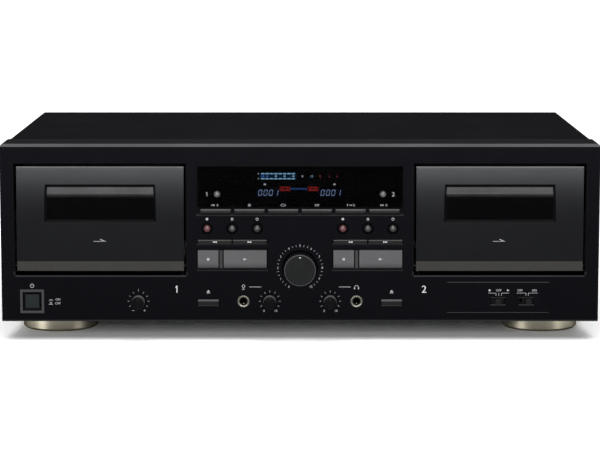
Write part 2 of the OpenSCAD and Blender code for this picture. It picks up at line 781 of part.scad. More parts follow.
module front_panel_openings() {
    at(0, 0, display_z) {
        slab(display_w + clear, display_h + clear, -5, display_t);
        slab(tube_w + 4, tube_h + 2, -5, panel_wall + 1);
    }
    sunk_field(0, surround_half_w, trough_low_z, surround_high_z, trough_d);
    for (i = [-2.5:1:2.5]) at(i * thin_pitch, 0, thin_z) key_opening(thin_w, thin_h);
    for (s = [-1, 1]) {
        at(s * reset_x, 0, reset_z) rod(reset_r + key_gap, -5, panel_wall + 1);
        at(s * eject_x, 0, eject_z) key_opening(eject_w, eject_h);
        at(s * jack_x, 0, low_row_z) rod(jack_ring_r - 0.4, -5, panel_wall + 1);
        at(s * small_x, 0, low_row_z) small_knob_hole();
    }
    for (n = [1, 2]) {
        at(stop_at(n), 0, play_z) key_opening(stop_w, play_h);
        at(play_at(n), 0, play_z) key_opening(play_w, play_h);
        for (i = [0, 1]) at(wind_at(n, i), 0, wind_z) key_opening(wind_w, wind_h);
        for (i = [0:2]) at(round_at(n, i), 0, round_z) {
            rod(round_hole_r, -5, panel_wall + 1);
            cone(round_hole_r + round_chamfer + 1, round_hole_r, -1, round_chamfer);
        }
        sunk_field(
            keys_left(n) + keys_w / 2, keys_w / 2 + field_margin,
            play_z - play_h / 2 - field_margin - field_foot, play_z + play_h / 2 + field_margin, field_d
        );
        sunk_field(
            keys_left(n) + keys_w / 2, keys_w / 2 + field_margin,
            wind_z - wind_h / 2 - key_gap, wind_z + wind_h / 2 + key_gap, field_d
        );
    }
    at(-pitch_x, 0, low_row_z) small_knob_hole();
    at(0, 0, knob_z) {
        rod(knob_well_r, -5, knob_well_d);
        rod(knob_shaft_r + 0.5, -5, panel_wall + 1);
    }
    at(-power_x, 0, low_row_z) slab(power_well, power_well, -5, panel_wall + 1);
    for (x = [timer_x, noise_x]) at(x, 0, low_row_z) slab(slide_slot_w, slide_slot_h, -5, panel_wall + 1);
}

module small_knob_hole() {
    rod(small_r + small_well_gap, -5, small_well_d);
    rod(small_shaft_r + 0.5, -5, panel_wall + 1);
}

module front_panel() {
    color("#26262a") {
        difference() {
            union() {
                at(0, 0, 0) panel_shell();
                each_deck() recess_block(recess_t, panel_wall - 1, recess_d);
                panel_posts();
                at(-power_x, 0, low_row_z)
                    slab(power_well + 2 * power_frame, power_well + 2 * power_frame, -power_frame_out, 1);
            }
            each_deck() {
                recess_block(0, -5, recess_d + 1);
                translate([0, 0, recess_low_z]) lower_chamfer(recess_half_w, lip_chamfer);
                for (s = [-1, 1]) translate([s * recess_half_w, 0, recess_low_z])
                    linear_extrude(lip_corner_h)
                    polygon([[-s, -1], [s * (lip_chamfer + 1), -1], [-s, lip_chamfer + 1]]);
                translate([0, hinge_d, hinge_z])
                    pin_x(hinge_pin_r + run_gap, -recess_outer_half_w - 1, recess_outer_half_w + 1);
            }
            front_panel_openings();
        }
        // The rib between the stop and play keys stands up from the sunk field
        for (n = [1, 2]) at(rib_at(n), 0, play_z) slab(rib_w, play_h, -play_out, panel_wall);
    }
}

// The case

module top_cover() {
    color("#17171a") difference() {
        at(0, 0, 0) along_y(panel_d, case_d) difference() {
            arch_outline(cover_half_w, foot_h, cover_top, cover_bend_r);
            arch_outline(inner_half_w, foot_h - 1, cover_top - cover_t, cover_bend_r - cover_t);
        }
        for (d = side_screw_ds) at(0, d, side_screw_z) pin_x(screw_hole_r, -panel_w, panel_w);
    }
}

module bottom_chassis() {
    color("#3a3a3e") difference() {
        union() {
            at(-inner_half_w, panel_d, foot_h) cube([2 * inner_half_w, rear_out_d - panel_d, chassis_t]);
            for (x = [-inner_half_w, inner_half_w - chassis_t])
                at(x, panel_d, foot_h) cube([chassis_t, rear_in_d - panel_d, flange_h]);
            at(-inner_half_w, rear_in_d - chassis_t, foot_h) cube([2 * inner_half_w, chassis_t, flange_h]);
            for (p = board_posts()) at(p[0], p[1], foot_h) cylinder(r = post_r, h = chassis_t + board_up);
        }
        for (p = foot_places) at(p[0], p[1], 0) cylinder(r = screw_hole_r, h = panel_h);
        for (d = side_screw_ds) at(0, d, side_screw_z) pin_x(screw_hole_r, -panel_w, panel_w);
        for (x = rear_screw_xs) at(x, 0, rear_screw_z) rod(screw_hole_r, rear_in_d - 5, rear_out_d + 5);
    }
}

module rear_panel() {
    color("#1d1d20") difference() {
        union() {
            at(-inner_half_w, rear_in_d, floor_z)
                cube([2 * inner_half_w, rear_t, cover_top - cover_t - cover_bend_r - floor_z]);
            at(-inner_half_w + cover_bend_r, rear_in_d, floor_z)
                cube([2 * (inner_half_w - cover_bend_r), rear_t, cover_top - cover_t - floor_z]);
            at(-inner_half_w + cover_bend_r, rear_in_d - rear_flange_d, cover_top - cover_t - rear_t)
                cube([2 * (inner_half_w - cover_bend_r), rear_flange_d + rear_t, rear_t]);
        }
        for (x = rear_screw_xs) at(x, 0, rear_screw_z) rod(screw_hole_r, rear_in_d - 5, rear_out_d + 5);
        for (p = socket_places()) at(p[0], 0, p[1])
            rod(socket_collar_r + cutout_gap, rear_in_d - 5, rear_out_d + 5);
        at(-inlet_x, 0, floor_z + inlet_up) slab(
            inlet_w + 2 * inlet_wall + 2 * cutout_gap, inlet_h + 2 * inlet_wall + 2 * cutout_gap,
            rear_in_d - 5, rear_out_d + 5
        );
    }
}

function socket_places() = [
    for (i = [-0.5, 0.5]) for (j = [0, 1])
        [socket_x + i * socket_pitch, floor_z + socket_up + j * socket_pitch]
];

module feet() {
    color("#b3a47c") for (p = foot_places) at(p[0], p[1], 0) difference() {
        union() {
            translate([0, 0, foot_chamfer]) cylinder(r = foot_r, h = foot_h - foot_chamfer);
            cylinder(r1 = foot_r - foot_chamfer, r2 = foot_r, h = foot_chamfer);
        }
        translate([0, 0, -1]) cylinder(r = foot_r - foot_ring, h = foot_hollow + 1);
        translate([0, 0, -1]) cylinder(r = foot_well_r, h = foot_hollow + foot_well_d + 1);
        translate([0, 0, -1]) cylinder(r = screw_hole_r, h = foot_h + 2);
    }
}

// A screw with a crossed slot, which holds sheets of the given thickness
module screw(grip) {
    slot_w = 0.6;
    cylinder(r = screw_r, h = grip + screw_reach);
    translate([0, 0, -screw_head_h]) difference() {
        cylinder(r = screw_head_r, h = screw_head_h);
        for (a = [0, 90]) rotate(a) translate([-screw_head_r + 1, -slot_w / 2, -1])
            cube([2 * (screw_head_r - 1), slot_w, 1 + screw_head_h / 2]);
    }
}

module case_screws() {
    well_z = foot_hollow + foot_well_d;
    color("#2b2b2e") {
        for (p = foot_places) at(p[0], p[1], well_z) screw(foot_h - well_z + chassis_t);
        for (d = side_screw_ds) for (s = [-1, 1])
            at(s * cover_half_w, d, side_screw_z) rotate([0, -90 * s, 0]) screw(cover_t + chassis_t);
        for (x = rear_screw_xs) at(x, rear_out_d, rear_screw_z)
            rotate([90, 0, 0]) screw(rear_t + chassis_t);
    }
}

// The display

module display_window() {
    color("#0b0b0e") at(0, 0, display_z) difference() {
        slab(display_w, display_h, clear / 2, display_t);
        for (s = [-1, 1]) translate([s * reset_x, 0, reset_z - display_z])
            rod(reset_r + key_gap, -1, display_t + 1);
    }
}

module display_tube() {
    color("#20343a") at(0, 0, display_z) {
        slab(tube_w, tube_h, tube_d, tube_d + tube_t);
        // Seal of the glass tip
        translate([tube_w / 2, tube_d + tube_t / 2, 0]) pin_x(1.4, -1, 1.5);
    }
}

// The circuit boards

function corner_posts(x0, x1, d0, d1) = [
    for (x = [x0 + post_in, x1 - post_in]) for (d = [d0 + post_in, d1 - post_in]) [x, d]
];
function board_posts() = concat(
    corner_posts(main_board_x0, main_board_x1, board_front_d, board_front_d + main_board_l),
    corner_posts(power_board_x0, power_board_x1, board_front_d, board_front_d + power_board_l)
);

// A key's switch: its plunger stands out of its body
module key_switch() {
    plunger_l = 1.5;
    slab(switch_w, switch_w, board_d - switch_h + plunger_l, board_d + board_t / 2);
    rod(key_stem_r + 0.2, board_d - switch_h, board_d);
}

// A board that stands behind the panel's face
module upright_board(x, w, z0, z1) {
    at(x, 0, (z0 + z1) / 2) slab(w, z1 - z0, board_d, board_back_d);
}

// The board of the keys and the display stands above the jacks, and the small boards stand beside them
module front_boards() {
    difference() {
        union() {
            upright_board(0, 2 * front_board_half_w, front_board_low_z, front_board_high_z);
            upright_board(0, 2 * jack_in_x, low_board_z, low_board_top);
            for (s = [-1, 1]) upright_board(
                s * (jack_out_x + front_board_half_w) / 2, front_board_half_w - jack_out_x,
                low_board_z, low_board_top
            );
            for (i = [-2.5:1:2.5]) at(i * thin_pitch, 0, thin_z) key_switch();
            for (s = [-1, 1]) {
                at(s * reset_x, 0, reset_z) key_switch();
                at(s * eject_x, 0, eject_z) key_switch();
                at(s * small_x, 0, low_row_z) pot(small_pot_w, small_shaft_r);
            }
            for (n = [1, 2]) {
                at(stop_at(n), 0, play_z) key_switch();
                at(play_at(n), 0, play_z) key_switch();
                for (i = [0, 1]) at(wind_at(n, i), 0, wind_z) key_switch();
                for (i = [0:2]) at(round_at(n, i), 0, round_z) key_switch();
            }
            at(0, 0, knob_z) pot(large_pot_w, knob_shaft_r);
            // Holder of the display tube
            at(0, 0, display_z) slab(
                tube_w - 2 * tube_holder_in, tube_h - 2 * tube_holder_in,
                tube_d + tube_t, board_d + board_t / 2
            );
        }
        for (s = [-1, 1]) at(s * small_x, 0, low_row_z) rod(small_shaft_r + run_gap, 0, board_d);
        at(0, 0, knob_z) rod(knob_shaft_r + run_gap, 0, board_d);
    }
}

// A turning level control with its bush, which is bored afterwards
module pot(w, shaft_r) {
    slab(w, w, pot_d, board_d + board_t / 2);
    rod(shaft_r + 1.5, panel_wall, pot_d + 1);
}

module pitch_board() {
    at(-pitch_x, 0, low_row_z) difference() {
        union() {
            slab(pitch_board_w, side_board_h, board_d, board_back_d);
            pot(small_pot_w, small_shaft_r);
        }
        rod(small_shaft_r + run_gap, 0, board_d);
    }
}

module slide_board() {
    difference() {
        union() {
            at(slide_board_x, 0, low_row_z) slab(slide_board_w, side_board_h, board_d, board_back_d);
            for (x = [timer_x, noise_x]) at(x, 0, low_row_z)
                slab(slide_body_w, slide_body_h, slide_body_d, board_d + board_t / 2);
        }
        for (x = [timer_x, noise_x]) at(x, 0, low_row_z)
            slab(slide_body_w - 5, slide_tongue_w + 2 * clear, slide_body_d - 1, board_d - 2);
    }
}

module power_switch() {
    at(-power_x, 0, low_row_z) difference() {
        union() {
            slab(power_switch_w, power_switch_w, power_switch_d, power_switch_d + power_switch_l);
            slab(
                power_switch_board_w, power_switch_w,
                power_switch_d + power_switch_l, power_switch_d + power_switch_l + board_t
            );
        }
        slab(
            power_stem_w + 2 * clear, power_stem_w + 2 * clear,
            power_switch_d - 1, power_switch_d + power_switch_l - 1
        );
    }
}

module capacitor(r, h) {
    cylinder(r = r, h = h + board_t / 2);
}

module chip(w, d, h) {
    cube([w, d, h + board_t / 2]);
}

// Like components in a row along X, half sunk into the board's thickness
module component_row(count, pitch, x, d) {
    for (i = [0:count - 1]) translate([x + i * pitch, d, board_t / 2]) children();
}

module heat_sink(l, fins) {
    plate_w = 5;
    fin_w = 16;
    fin_t = 4;
    high = 32;
    cube([plate_w, l, high + board_t / 2]);
    for (i = [0:fins - 1]) translate([0, i * (l - fin_t) / (fins - 1), 0])
        cube([fin_w, fin_t, high + board_t / 2]);
}

module main_board() {
    sink_l = 36;
    at(main_board_x0, board_front_d, main_board_z) {
        cube([main_board_x1 - main_board_x0, main_board_l, board_t]);
        component_row(count = 8, pitch = 28, x = 30, d = 75) capacitor(r = 3, h = 11);
        component_row(count = 5, pitch = 44, x = 40, d = 90) chip(w = 22, d = 9, h = 4);
        component_row(count = 4, pitch = 44, x = 60, d = 120) chip(w = 14, d = 7, h = 3);
        component_row(count = 6, pitch = 36, x = 50, d = 145) capacitor(r = 4, h = 14);
        component_row(count = 1, pitch = 0, x = 16, d = main_board_l - sink_l - 6)
            heat_sink(l = sink_l, fins = 5);
    }
}

module power_board() {
    at(power_board_x0, board_front_d, main_board_z) {
        cube([power_board_x1 - power_board_x0, power_board_l, board_t]);
        component_row(count = 2, pitch = 30, x = 30, d = 60) capacitor(r = 11, h = 34);
        component_row(count = 2, pitch = 16, x = 62, d = 30) capacitor(r = 6, h = 16);
        component_row(count = 1, pitch = 0, x = 20, d = 20) chip(w = 24, d = 8, h = 9);
    }
}

module circuit_boards() {
    color("#2f5a36") {
        front_boards();
        pitch_board();
        slide_board();
        power_switch();
        main_board();
        power_board();
    }
}

// The transformer stands behind the power board, with its winding on the core's middle limb
module power_transformer() {
    limb = core_w / 6;
    window_low_z = limb + 2;
    window_high_z = core_h - limb;
    foot_t = 1.5;
    winding_half_d = core_d / 2 + winding_out;
    at((power_board_x0 + power_board_x1) / 2, board_front_d + power_board_l + core_gap, floor_z) {
        color("#6d6a66") difference() {
            union() {
                translate([-core_w / 2, -core_d / 2, 0]) cube([core_w, core_d, core_h]);
                translate([-core_w / 2 - core_foot_l, -core_foot_w / 2, 0])
                    cube([core_w + 2 * core_foot_l, core_foot_w, foot_t]);
            }
            for (s = [-1, 1]) translate([s * limb * 1.5 - limb / 2, -core_d, window_low_z])
                cube([limb, 2 * core_d, window_high_z - window_low_z]);
        }
        color("#c9a640") difference() {
            translate([-2 * limb + clear, -winding_half_d, window_low_z + clear])
                cube([4 * limb - 2 * clear, 2 * winding_half_d, window_high_z - window_low_z - 2 * clear]);
            translate([-limb - clear, -core_d / 2 - clear, 0])
                cube([2 * (limb + clear), core_d + 2 * clear, core_h]);
        }
    }
}

// The transports

module transport_frame() {
    difference() {
        union() {
            translate([-plate_half_w, plate_d, plate_low_z])
                cube([2 * plate_half_w, plate_t, plate_high_z - plate_low_z]);
            for (s = [-1, 1]) translate([s * hub_spacing / 2, 0, hub_z])
                rod(spindle_shaft_r + bearing_wall, plate_d + 0.5, spindle_bearing_d);
            translate([capstan_x, 0, capstan_z])
                rod(capstan_r + bearing_wall, plate_d + 0.5, capstan_bearing_d);
            translate([-plate_half_w, bracket_d, bracket_low_z])
                cube([2 * plate_half_w, plate_t, bracket_high_z - bracket_low_z]);
            for (s = [-1, 1]) for (z = column_zs)
                translate([s * column_x, 0, z]) rod(post_r, plate_d + 0.5, bracket_d + 0.5);
            // The studs that guide the head carriage, with their heads
            for (s = [-1, 1]) translate([s * stud_x, 0, stud_z]) {
                rod(stud_r, carriage_d - clear, plate_d + 0.5);
                rod(stud_r + 1.1, carriage_d - clear - 1, carriage_d - clear);
            }
        }
        for (s = [-1, 1]) translate([s * hub_spacing / 2, 0, hub_z])
            rod(spindle_shaft_r + run_gap, plate_d - 1, spindle_bearing_d + 1);
        translate([capstan_x, 0, capstan_z]) rod(capstan_r + run_gap, plate_d - 1, bracket_back_d + 1);
        translate([-motor_x, 0, motor_z]) rod(pulley_r + 1, bracket_d - 1, bracket_back_d + 1);
    }
}

module transport_frames() {
    color("#9a9da0") each_deck() transport_frame();
}

module drive_motors() {
    color("#b4b6b8") each_deck() {
        translate([-motor_x, 0, motor_z]) {
            rod(motor_r, bracket_back_d, bracket_back_d + motor_l);
            rod(1, belt_d - pulley_lip - 0.5, bracket_back_d + 1);
            rod(pulley_r, belt_d - pulley_lip, belt_d + belt_w + pulley_lip);
        }
        translate([0, 0, hub_z + reel_r + reel_motor_r])
            rod(reel_motor_r, plate_back_d, plate_back_d + reel_motor_l);
    }
}

// A loop round two pulleys: the arc round each of them between the straight runs
function arc_points(p, r, a0, a1, steps) = [
    for (i = [0:steps]) p + r * [cos(a0 + (a1 - a0) * i / steps), sin(a0 + (a1 - a0) * i / steps)]
];
function loop_points(p0, r0, p1, r1) =
    let (
        span = norm(p1 - p0),
        base = atan2(p1[1] - p0[1], p1[0] - p0[0]),
        lean = acos((r0 - r1) / span)
    )
    concat(
        arc_points(p0, r0, base + lean, base + 360 - lean, 36),
        arc_points(p1, r1, base - lean, base + lean, 16)
    );

module drive_belts() {
    wheel = [capstan_x, capstan_z];
    pulley = [-motor_x, motor_z];
    color("#1b1b1b") each_deck() along_y(belt_d, belt_d + belt_w) difference() {
        polygon(loop_points(wheel, flywheel_r + belt_gap + belt_t, pulley, pulley_r + belt_gap + belt_t));
        polygon(loop_points(wheel, flywheel_r + belt_gap, pulley, pulley_r + belt_gap));
    }
}

module spindle(n, side) {
    core_d = spindle_tip_d + spindle_tip_l;
    core_end_d = plate_d - clear;
    vane_in = 0.5;
    color("#2a2a2d") at(deck_x(n) + side * hub_spacing / 2, 0, hub_z) {
        cone(spindle_r * 0.4, spindle_r, spindle_tip_d, core_d);
        rod(spindle_r, core_d, core_end_d);
        rod(spindle_shaft_r, core_end_d - 1, reel_d + 1);
        rod(reel_r, reel_d, reel_d + reel_t);
        for (a = [0, 120, 240]) rotate([0, a, 0])
            translate([-vane_t / 2, core_d + vane_in, spindle_r / 2])
                cube([vane_t, core_end_d - core_d - 3, vane_r - spindle_r / 2]);
    }
}

module capstan_flywheel(n) {
    hub_r = capstan_r + 3;
    color("#b08d57") at(deck_x(n) + capstan_x, 0, capstan_z) {
        rod(capstan_r, head_d0, bracket_back_d + 1);
        rod(hub_r, flywheel_back_d - flywheel_hollow_d - 1, bracket_d - clear);
        difference() {
            rod(flywheel_r, flywheel_d, flywheel_back_d);
            difference() {
                rod(flywheel_r - flywheel_rim_w, flywheel_back_d - flywheel_hollow_d, flywheel_back_d + 1);
                rod(hub_r, flywheel_d, flywheel_back_d + 1);
            }
        }
    }
}

// A head with its crowned upper face, on an arm that reaches forward from the carriage
module head_block(w) {
    low_z = carriage_top_z - head_arm_h - 3;
    back_d = head_d0 + head_d;
    intersection() {
        translate([-w / 2, head_d0, low_z]) cube([w, head_d, head_top_z - low_z]);
        translate([0, 0, head_top_z - head_crown_r]) rod(head_crown_r, head_d0, back_d);
    }
    translate([-w / 2 + 1, back_d - 1, low_z]) cube([w - 2, carriage_d - back_d + 1.5, head_arm_h]);
}

module head_carriage(n) {
    slot_low = stud_z - carriage_travel;
    color("#c4c6c8") at(deck_x(n), 0, 0) {
        difference() {
            union() {
                translate([-carriage_half_w, carriage_d, carriage_low_z])
                    cube([2 * carriage_half_w, carriage_t, carriage_top_z - carriage_low_z]);
                head_block(head_w);
                translate([-erase_x, 0, 0]) head_block(erase_w);
                translate([capstan_x, 0, roller_z]) rod(roller_pin_r, head_d0 + 0.2, carriage_d + 0.5);
            }
            for (s = [-1, 1]) for (z = [slot_low, stud_z]) translate([s * stud_x, 0, z])
                rod(stud_r + clear, carriage_d - 1, carriage_back_d + 1);
            for (s = [-1, 1]) translate([s * stud_x, 0, (slot_low + stud_z) / 2])
                slab(2 * (stud_r + clear), carriage_travel, carriage_d - 1, carriage_back_d + 1);
        }
        translate([capstan_x, 0, roller_z]) difference() {
            rod(roller_r, head_d0 + 0.5, head_d0 + head_d - 0.5);
            rod(roller_pin_r + run_gap, head_d0, head_d0 + head_d);
        }
    }
}

// The doors

function lens_arc(r, a) = [door_t + lens_curve_r - r * cos(a), window_h / 2 - lens_curve_down + r * sin(a)];

module door_window(n) {
    steps = 8;
    low = -window_h / 2 - lens_foot_lap;
    front = [for (i = [0:steps]) lens_arc(lens_curve_r, lens_curve_a * i / steps)];
    back = [for (i = [steps:-1:0]) lens_arc(lens_curve_r - lens_t, lens_curve_a * i / steps)];
    color("#15151a") at(deck_x(n), 0, window_mid_z) {
        along_x(lens_w) polygon(concat([[door_t, low]], front, back, [[door_t + lens_t, low]]));
        translate([0, 0, (low + front[0][1]) / 2])
            slab(lens_w + 2 * lens_lap, front[0][1] - low, door_t, door_t + lens_t);
    }
}

// The window opening narrows towards the door's back, and its upper edge follows the face's lean
module window_opening() {
    lead = 1;
    slope = window_slope / door_t;
    lean_up = slope * lean(window_up + window_h);
    w0 = window_w / 2 + lead * slope;
    w1 = window_w / 2 - (door_t + lead) * slope;
    h0 = window_h / 2 + lead * slope;
    h1 = window_h / 2 - (door_t + lead) * slope;
    intersection() {
        translate([0, 0, -window_h]) linear_extrude(2 * window_h)
            polygon([[-w0, -lead], [w0, -lead], [w1, door_t + lead], [-w1, door_t + lead]]);
        along_x(2 * window_w)
            polygon([
                [-lead, -h0], [-lead, h0 + lean_up], [door_t + lead, h1 + lean_up], [door_t + lead, -h1]
            ]);
    }
}

// How far the curved face of a door leans back at a height above the door's foot
function lean(up) = face_curve_r - sqrt(pow(face_curve_r, 2) - pow(max(0, up - door_h + face_curve_h), 2));

module door(n) {
    half_w = door_w / 2;
    steps = 24;
    top_chamfer = 0.6;
    face = [
        for (i = [0:steps]) let(up = door_h - top_chamfer - face_curve_h * (1 - i / steps)) [lean(up), up]
    ];
    back_up = window_up + window_h - lens_curve_down + 1;
    color("#3c3c41") at(deck_x(n), 0, door_z) {
        difference() {
            union() {
                along_x(door_w) polygon(concat([[0, band_h]], face, [
                    [lean(door_h) + top_chamfer, door_h],
                    [door_rim_d, door_h], [door_rim_d, 0], [band_d, 0]
                ]));
                for (s = [-1, 1]) translate([s * (half_w - hinge_lug_w / 2), hinge_d, hinge_up])
                    pin_x(hinge_lug_r, -hinge_lug_w / 2, hinge_lug_w / 2);
                for (s = [-1, 1]) translate([s * half_w, hinge_d, hinge_up]) rotate([0, 0, s < 0 ? 180 : 0])
                    pin_x(hinge_pin_r, -1, door_gap + recess_t - clear);
            }
            along_x(door_w - 2 * door_rim_w) polygon([
                [door_t, band_h], [door_t, back_up], [door_t + face_back, door_h - door_rim_w],
                [door_rim_d * 2, door_h - door_rim_w], [door_rim_d * 2, band_h]
            ]);
            translate([-half_w + hinge_lug_w, door_rim_d - 1, -1])
                cube([door_w - 2 * hinge_lug_w, door_rim_d * 2, band_h + 2]);
            translate([0, 0, window_up + window_h / 2]) window_opening();
        }
    }
}

module cassette_holder(n) {
    plate_half = door_w / 2 - door_rim_w / 2;
    high = cass_z + cassette_h + 0.7;
    low = cass_z - holder_t;
    color("#2c2c30") at(deck_x(n), 0, 0) {
        difference() {
            translate([-plate_half, holder_d, low]) cube([2 * plate_half, holder_t, high - low]);
            translate([-window_w / 2 - 3, holder_d - 1, window_mid_z - window_h / 2 - 3])
                cube([window_w + 6, holder_t + 2, window_h + 6]);
            translate([-holder_mouth_w / 2, holder_d - 1, low - 1])
                cube([holder_mouth_w, holder_t + 2, window_mid_z - low]);
        }
        for (s = [-1, 1]) translate([s * (slot_half_w + holder_t / 2), 0, (high + low) / 2]) {
            slab(holder_t, high - low, holder_d + holder_t / 2, holder_back_d);
            translate([-s * (holder_lip_w - holder_t) / 2, 0, 0])
                slab(holder_lip_w, high - low, slot_d1, holder_back_d);
        }
        for (s = [-1, 1]) translate([s * (slot_half_w + holder_mouth_w / 2) / 2, 0, low + holder_t / 2])
            slab(slot_half_w - holder_mouth_w / 2 + 0.5, holder_t, holder_d + holder_t / 2, holder_back_d);
    }
}

// Keys and buttons, each with a flange behind the panel and a stem that reaches its switch

module key_stem() {
    rod(key_stem_r, flange_d, stem_end_d);
}

// A bar key: the bevels along its upper and lower edges are given, and its flange reaches up and down
module bar_key(w, h, out, bevel, lower_bevel) {
    along_x(w) polygon([
        [flange_d + 0.5, -h / 2], [-out + lower_bevel, -h / 2], [-out, -h / 2 + lower_bevel],
        [-out, h / 2 - bevel], [-out + bevel, h / 2], [flange_d + 0.5, h / 2]
    ]);
    slab(w - 0.4, h + 2 * (key_gap + key_flange_lap), flange_d, flange_d + key_flange_t);
    key_stem();
}

// A round button: its face is domed
module round_button(r, out, hole_r) {
    dome_r = r * 1.6;
    intersection() {
        rod(r, -out, flange_d + 0.5);
        translate([0, -out + dome_r, 0]) sphere(dome_r);
    }
    rod(r, -out + dome_r - sqrt(dome_r * dome_r - r * r), flange_d + 0.5);
    rod(hole_r + key_flange_lap, flange_d, flange_d + key_flange_t);
    key_stem();
}

module thin_key(i) {
    color("#4a4a4e") at((i - 2.5) * thin_pitch, 0, thin_z)
        bar_key(thin_w, thin_h, thin_out - trough_d, 0.6, 0.2);
}

module stop_key(n) {
    color("#6a6a6e") at(stop_at(n), 0, play_z) bar_key(stop_w, play_h, play_out, 0.4, 0.4);
}

module play_key(n) {
    color("#6a6a6e") at(play_at(n), 0, play_z) bar_key(play_w, play_h, play_out, 0.4, 0.4);
}

module rewind_key(n) {
    color("#4a4a4e") at(wind_at(n, 0), 0, wind_z) bar_key(wind_w, wind_h, play_out, 0.6, 0.2);
}

module forward_key(n) {
    color("#4a4a4e") at(wind_at(n, 1), 0, wind_z) bar_key(wind_w, wind_h, play_out, 0.6, 0.2);
}

module eject_key(n) {
    color("#4a4a4e") at(deck_side(n) * eject_x, 0, eject_z) bar_key(eject_w, eject_h, eject_out, 1.2, 0.3);
}

// The round buttons of a deck, counted from the left: record, pause and mute
module deck_round_button(n, i) {
    at(round_at(n, i), 0, round_z) round_button(round_r, round_out, round_hole_r);
}

module record_button(n) {
    color("#8a2a30") deck_round_button(n, 0);
}

module pause_button(n) {
    color("#3a3a3e") deck_round_button(n, 1);
}

module mute_button(n) {
    color("#3a3a3e") deck_round_button(n, 2);
}

module counter_reset(n) {
    color("#5a5a5e") at(deck_side(n) * reset_x, 0, reset_z) round_button(reset_r, 1, reset_r + key_gap);
}

// The power button is drawn pressed and latched, and comes forward when it is released
module power_button() {
    color("#24282a") at(-power_x, 0, low_row_z) {
        slab(power_w, power_w, power_in, power_flange_d + 0.5);
        slab(
            power_well + 2 * key_flange_lap, power_well + 2 * key_flange_lap,
            power_flange_d, power_flange_d + key_flange_t
        );
        slab(power_stem_w, power_stem_w, power_flange_d, power_switch_d + 5);
    }
}

// Knobs

module level_knob() {
    skirt_r = knob_r + 0.35;
    color("#2c2f31") at(0, 0, knob_z) {
        difference() {
            union() {
                cone(knob_r - 0.6, knob_r, -knob_out, -knob_out + 0.6);
                cone(knob_r, skirt_r, -knob_out + 0.6, knob_well_d - clear);
            }
            // Pointer dimple
            translate([0, 0, knob_r - 3]) rod(0.6, -knob_out - 1, -knob_out + 0.4);
        }
        rod(knob_shaft_r, knob_well_d - clear - 1, board_d - clear);
    }
}

module small_knob() {
    color("#2c2f31") {
        difference() {
            union() {
                cone(small_r - 0.5, small_r - 0.2, -small_out, -small_out + 0.5);
                cone(small_r - 0.2, small_r, -small_out + 0.5, small_well_d - clear);
            }
            // Pointer groove
            translate([0, 0, small_r]) slab(0.7, small_r, -small_out - 1, -small_out + 0.5);
        }
        rod(small_shaft_r, small_well_d - clear - 1, board_d - clear);
    }
}

module pitch_knob() {
    at(-pitch_x, 0, low_row_z) small_knob();
}

module mic_knob() {
    at(-small_x, 0, low_row_z) small_knob();
}

module phones_knob() {
    at(small_x, 0, low_row_z) small_knob();
}

// Slide switches

module slide_button() {
    flange_w = slide_slot_w - 2;
    slab(slide_w, slide_h, -slide_out, flange_d + 0.5);
    slab(flange_w, slide_slot_h + 1.2, flange_d, flange_d + key_flange_t);
    slab(slide_tongue_w, slide_tongue_w, flange_d, slide_body_d + 3);
}

module timer_switch() {
    color("#3a3a3e") at(timer_x, 0, low_row_z) slide_button();
}

module noise_switch() {
    color("#3a3a3e") at(noise_x + noise_rest, 0, low_row_z) slide_button();
}

// Sockets

module jack_sockets() {
    color("#a9a294") for (s = [-1, 1]) at(s * jack_x, 0, low_row_z) difference() {
        union() {
            rod(jack_ring_r, -jack_ring_out, 0);
            rod(jack_ring_r - 0.5, -jack_ring_out, panel_wall + 1);
            slab(jack_w, jack_w, panel_wall, jack_l);
        }
        rod(jack_bore_r, -5, jack_l - 1);
    }
}

module rear_sockets() {
    block_w = 2 * socket_pitch;
    end_d = case_d + socket_out;
    bore_l = 9;
    sockets = [for (i = [-0.5, 0.5]) for (j = [-0.5, 0.5]) [i * socket_pitch, j * socket_pitch]];
    color("#c2a24a") at(socket_x, 0, floor_z + socket_up + socket_pitch / 2) difference() {
        union() {
            slab(block_w, block_w, rear_in_d - socket_block_d, rear_in_d);
            for (p = sockets) translate([p[0], 0, p[1]]) {
                rod(socket_collar_r, rear_in_d - 1, rear_out_d + 0.5);
                rod(socket_r, rear_out_d, end_d);
            }
        }
        for (p = sockets) translate([p[0], 0, p[1]]) rod(socket_bore_r, end_d - bore_l, end_d + 1);
    }
    inlet_face_d = rear_out_d + 1.2;
    outer_w = inlet_w + 2 * inlet_wall;
    outer_h = inlet_h + 2 * inlet_wall;
    color("#1b1b1d") at(-inlet_x, 0, floor_z + inlet_up) {
        difference() {
            union() {
                slab(outer_w + 4, outer_h + 4, inlet_face_d - inlet_d - 3, rear_in_d);
                slab(outer_w, outer_h, rear_in_d - 1, inlet_face_d);
            }
            slab(inlet_w, inlet_h, inlet_face_d - inlet_d, inlet_face_d + 5);
        }
        for (s = [-1, 1]) translate([s * inlet_pin_x, 0, 0])
            rod(inlet_pin_r, inlet_face_d - inlet_d - 0.5, inlet_face_d - 2);
    }
}

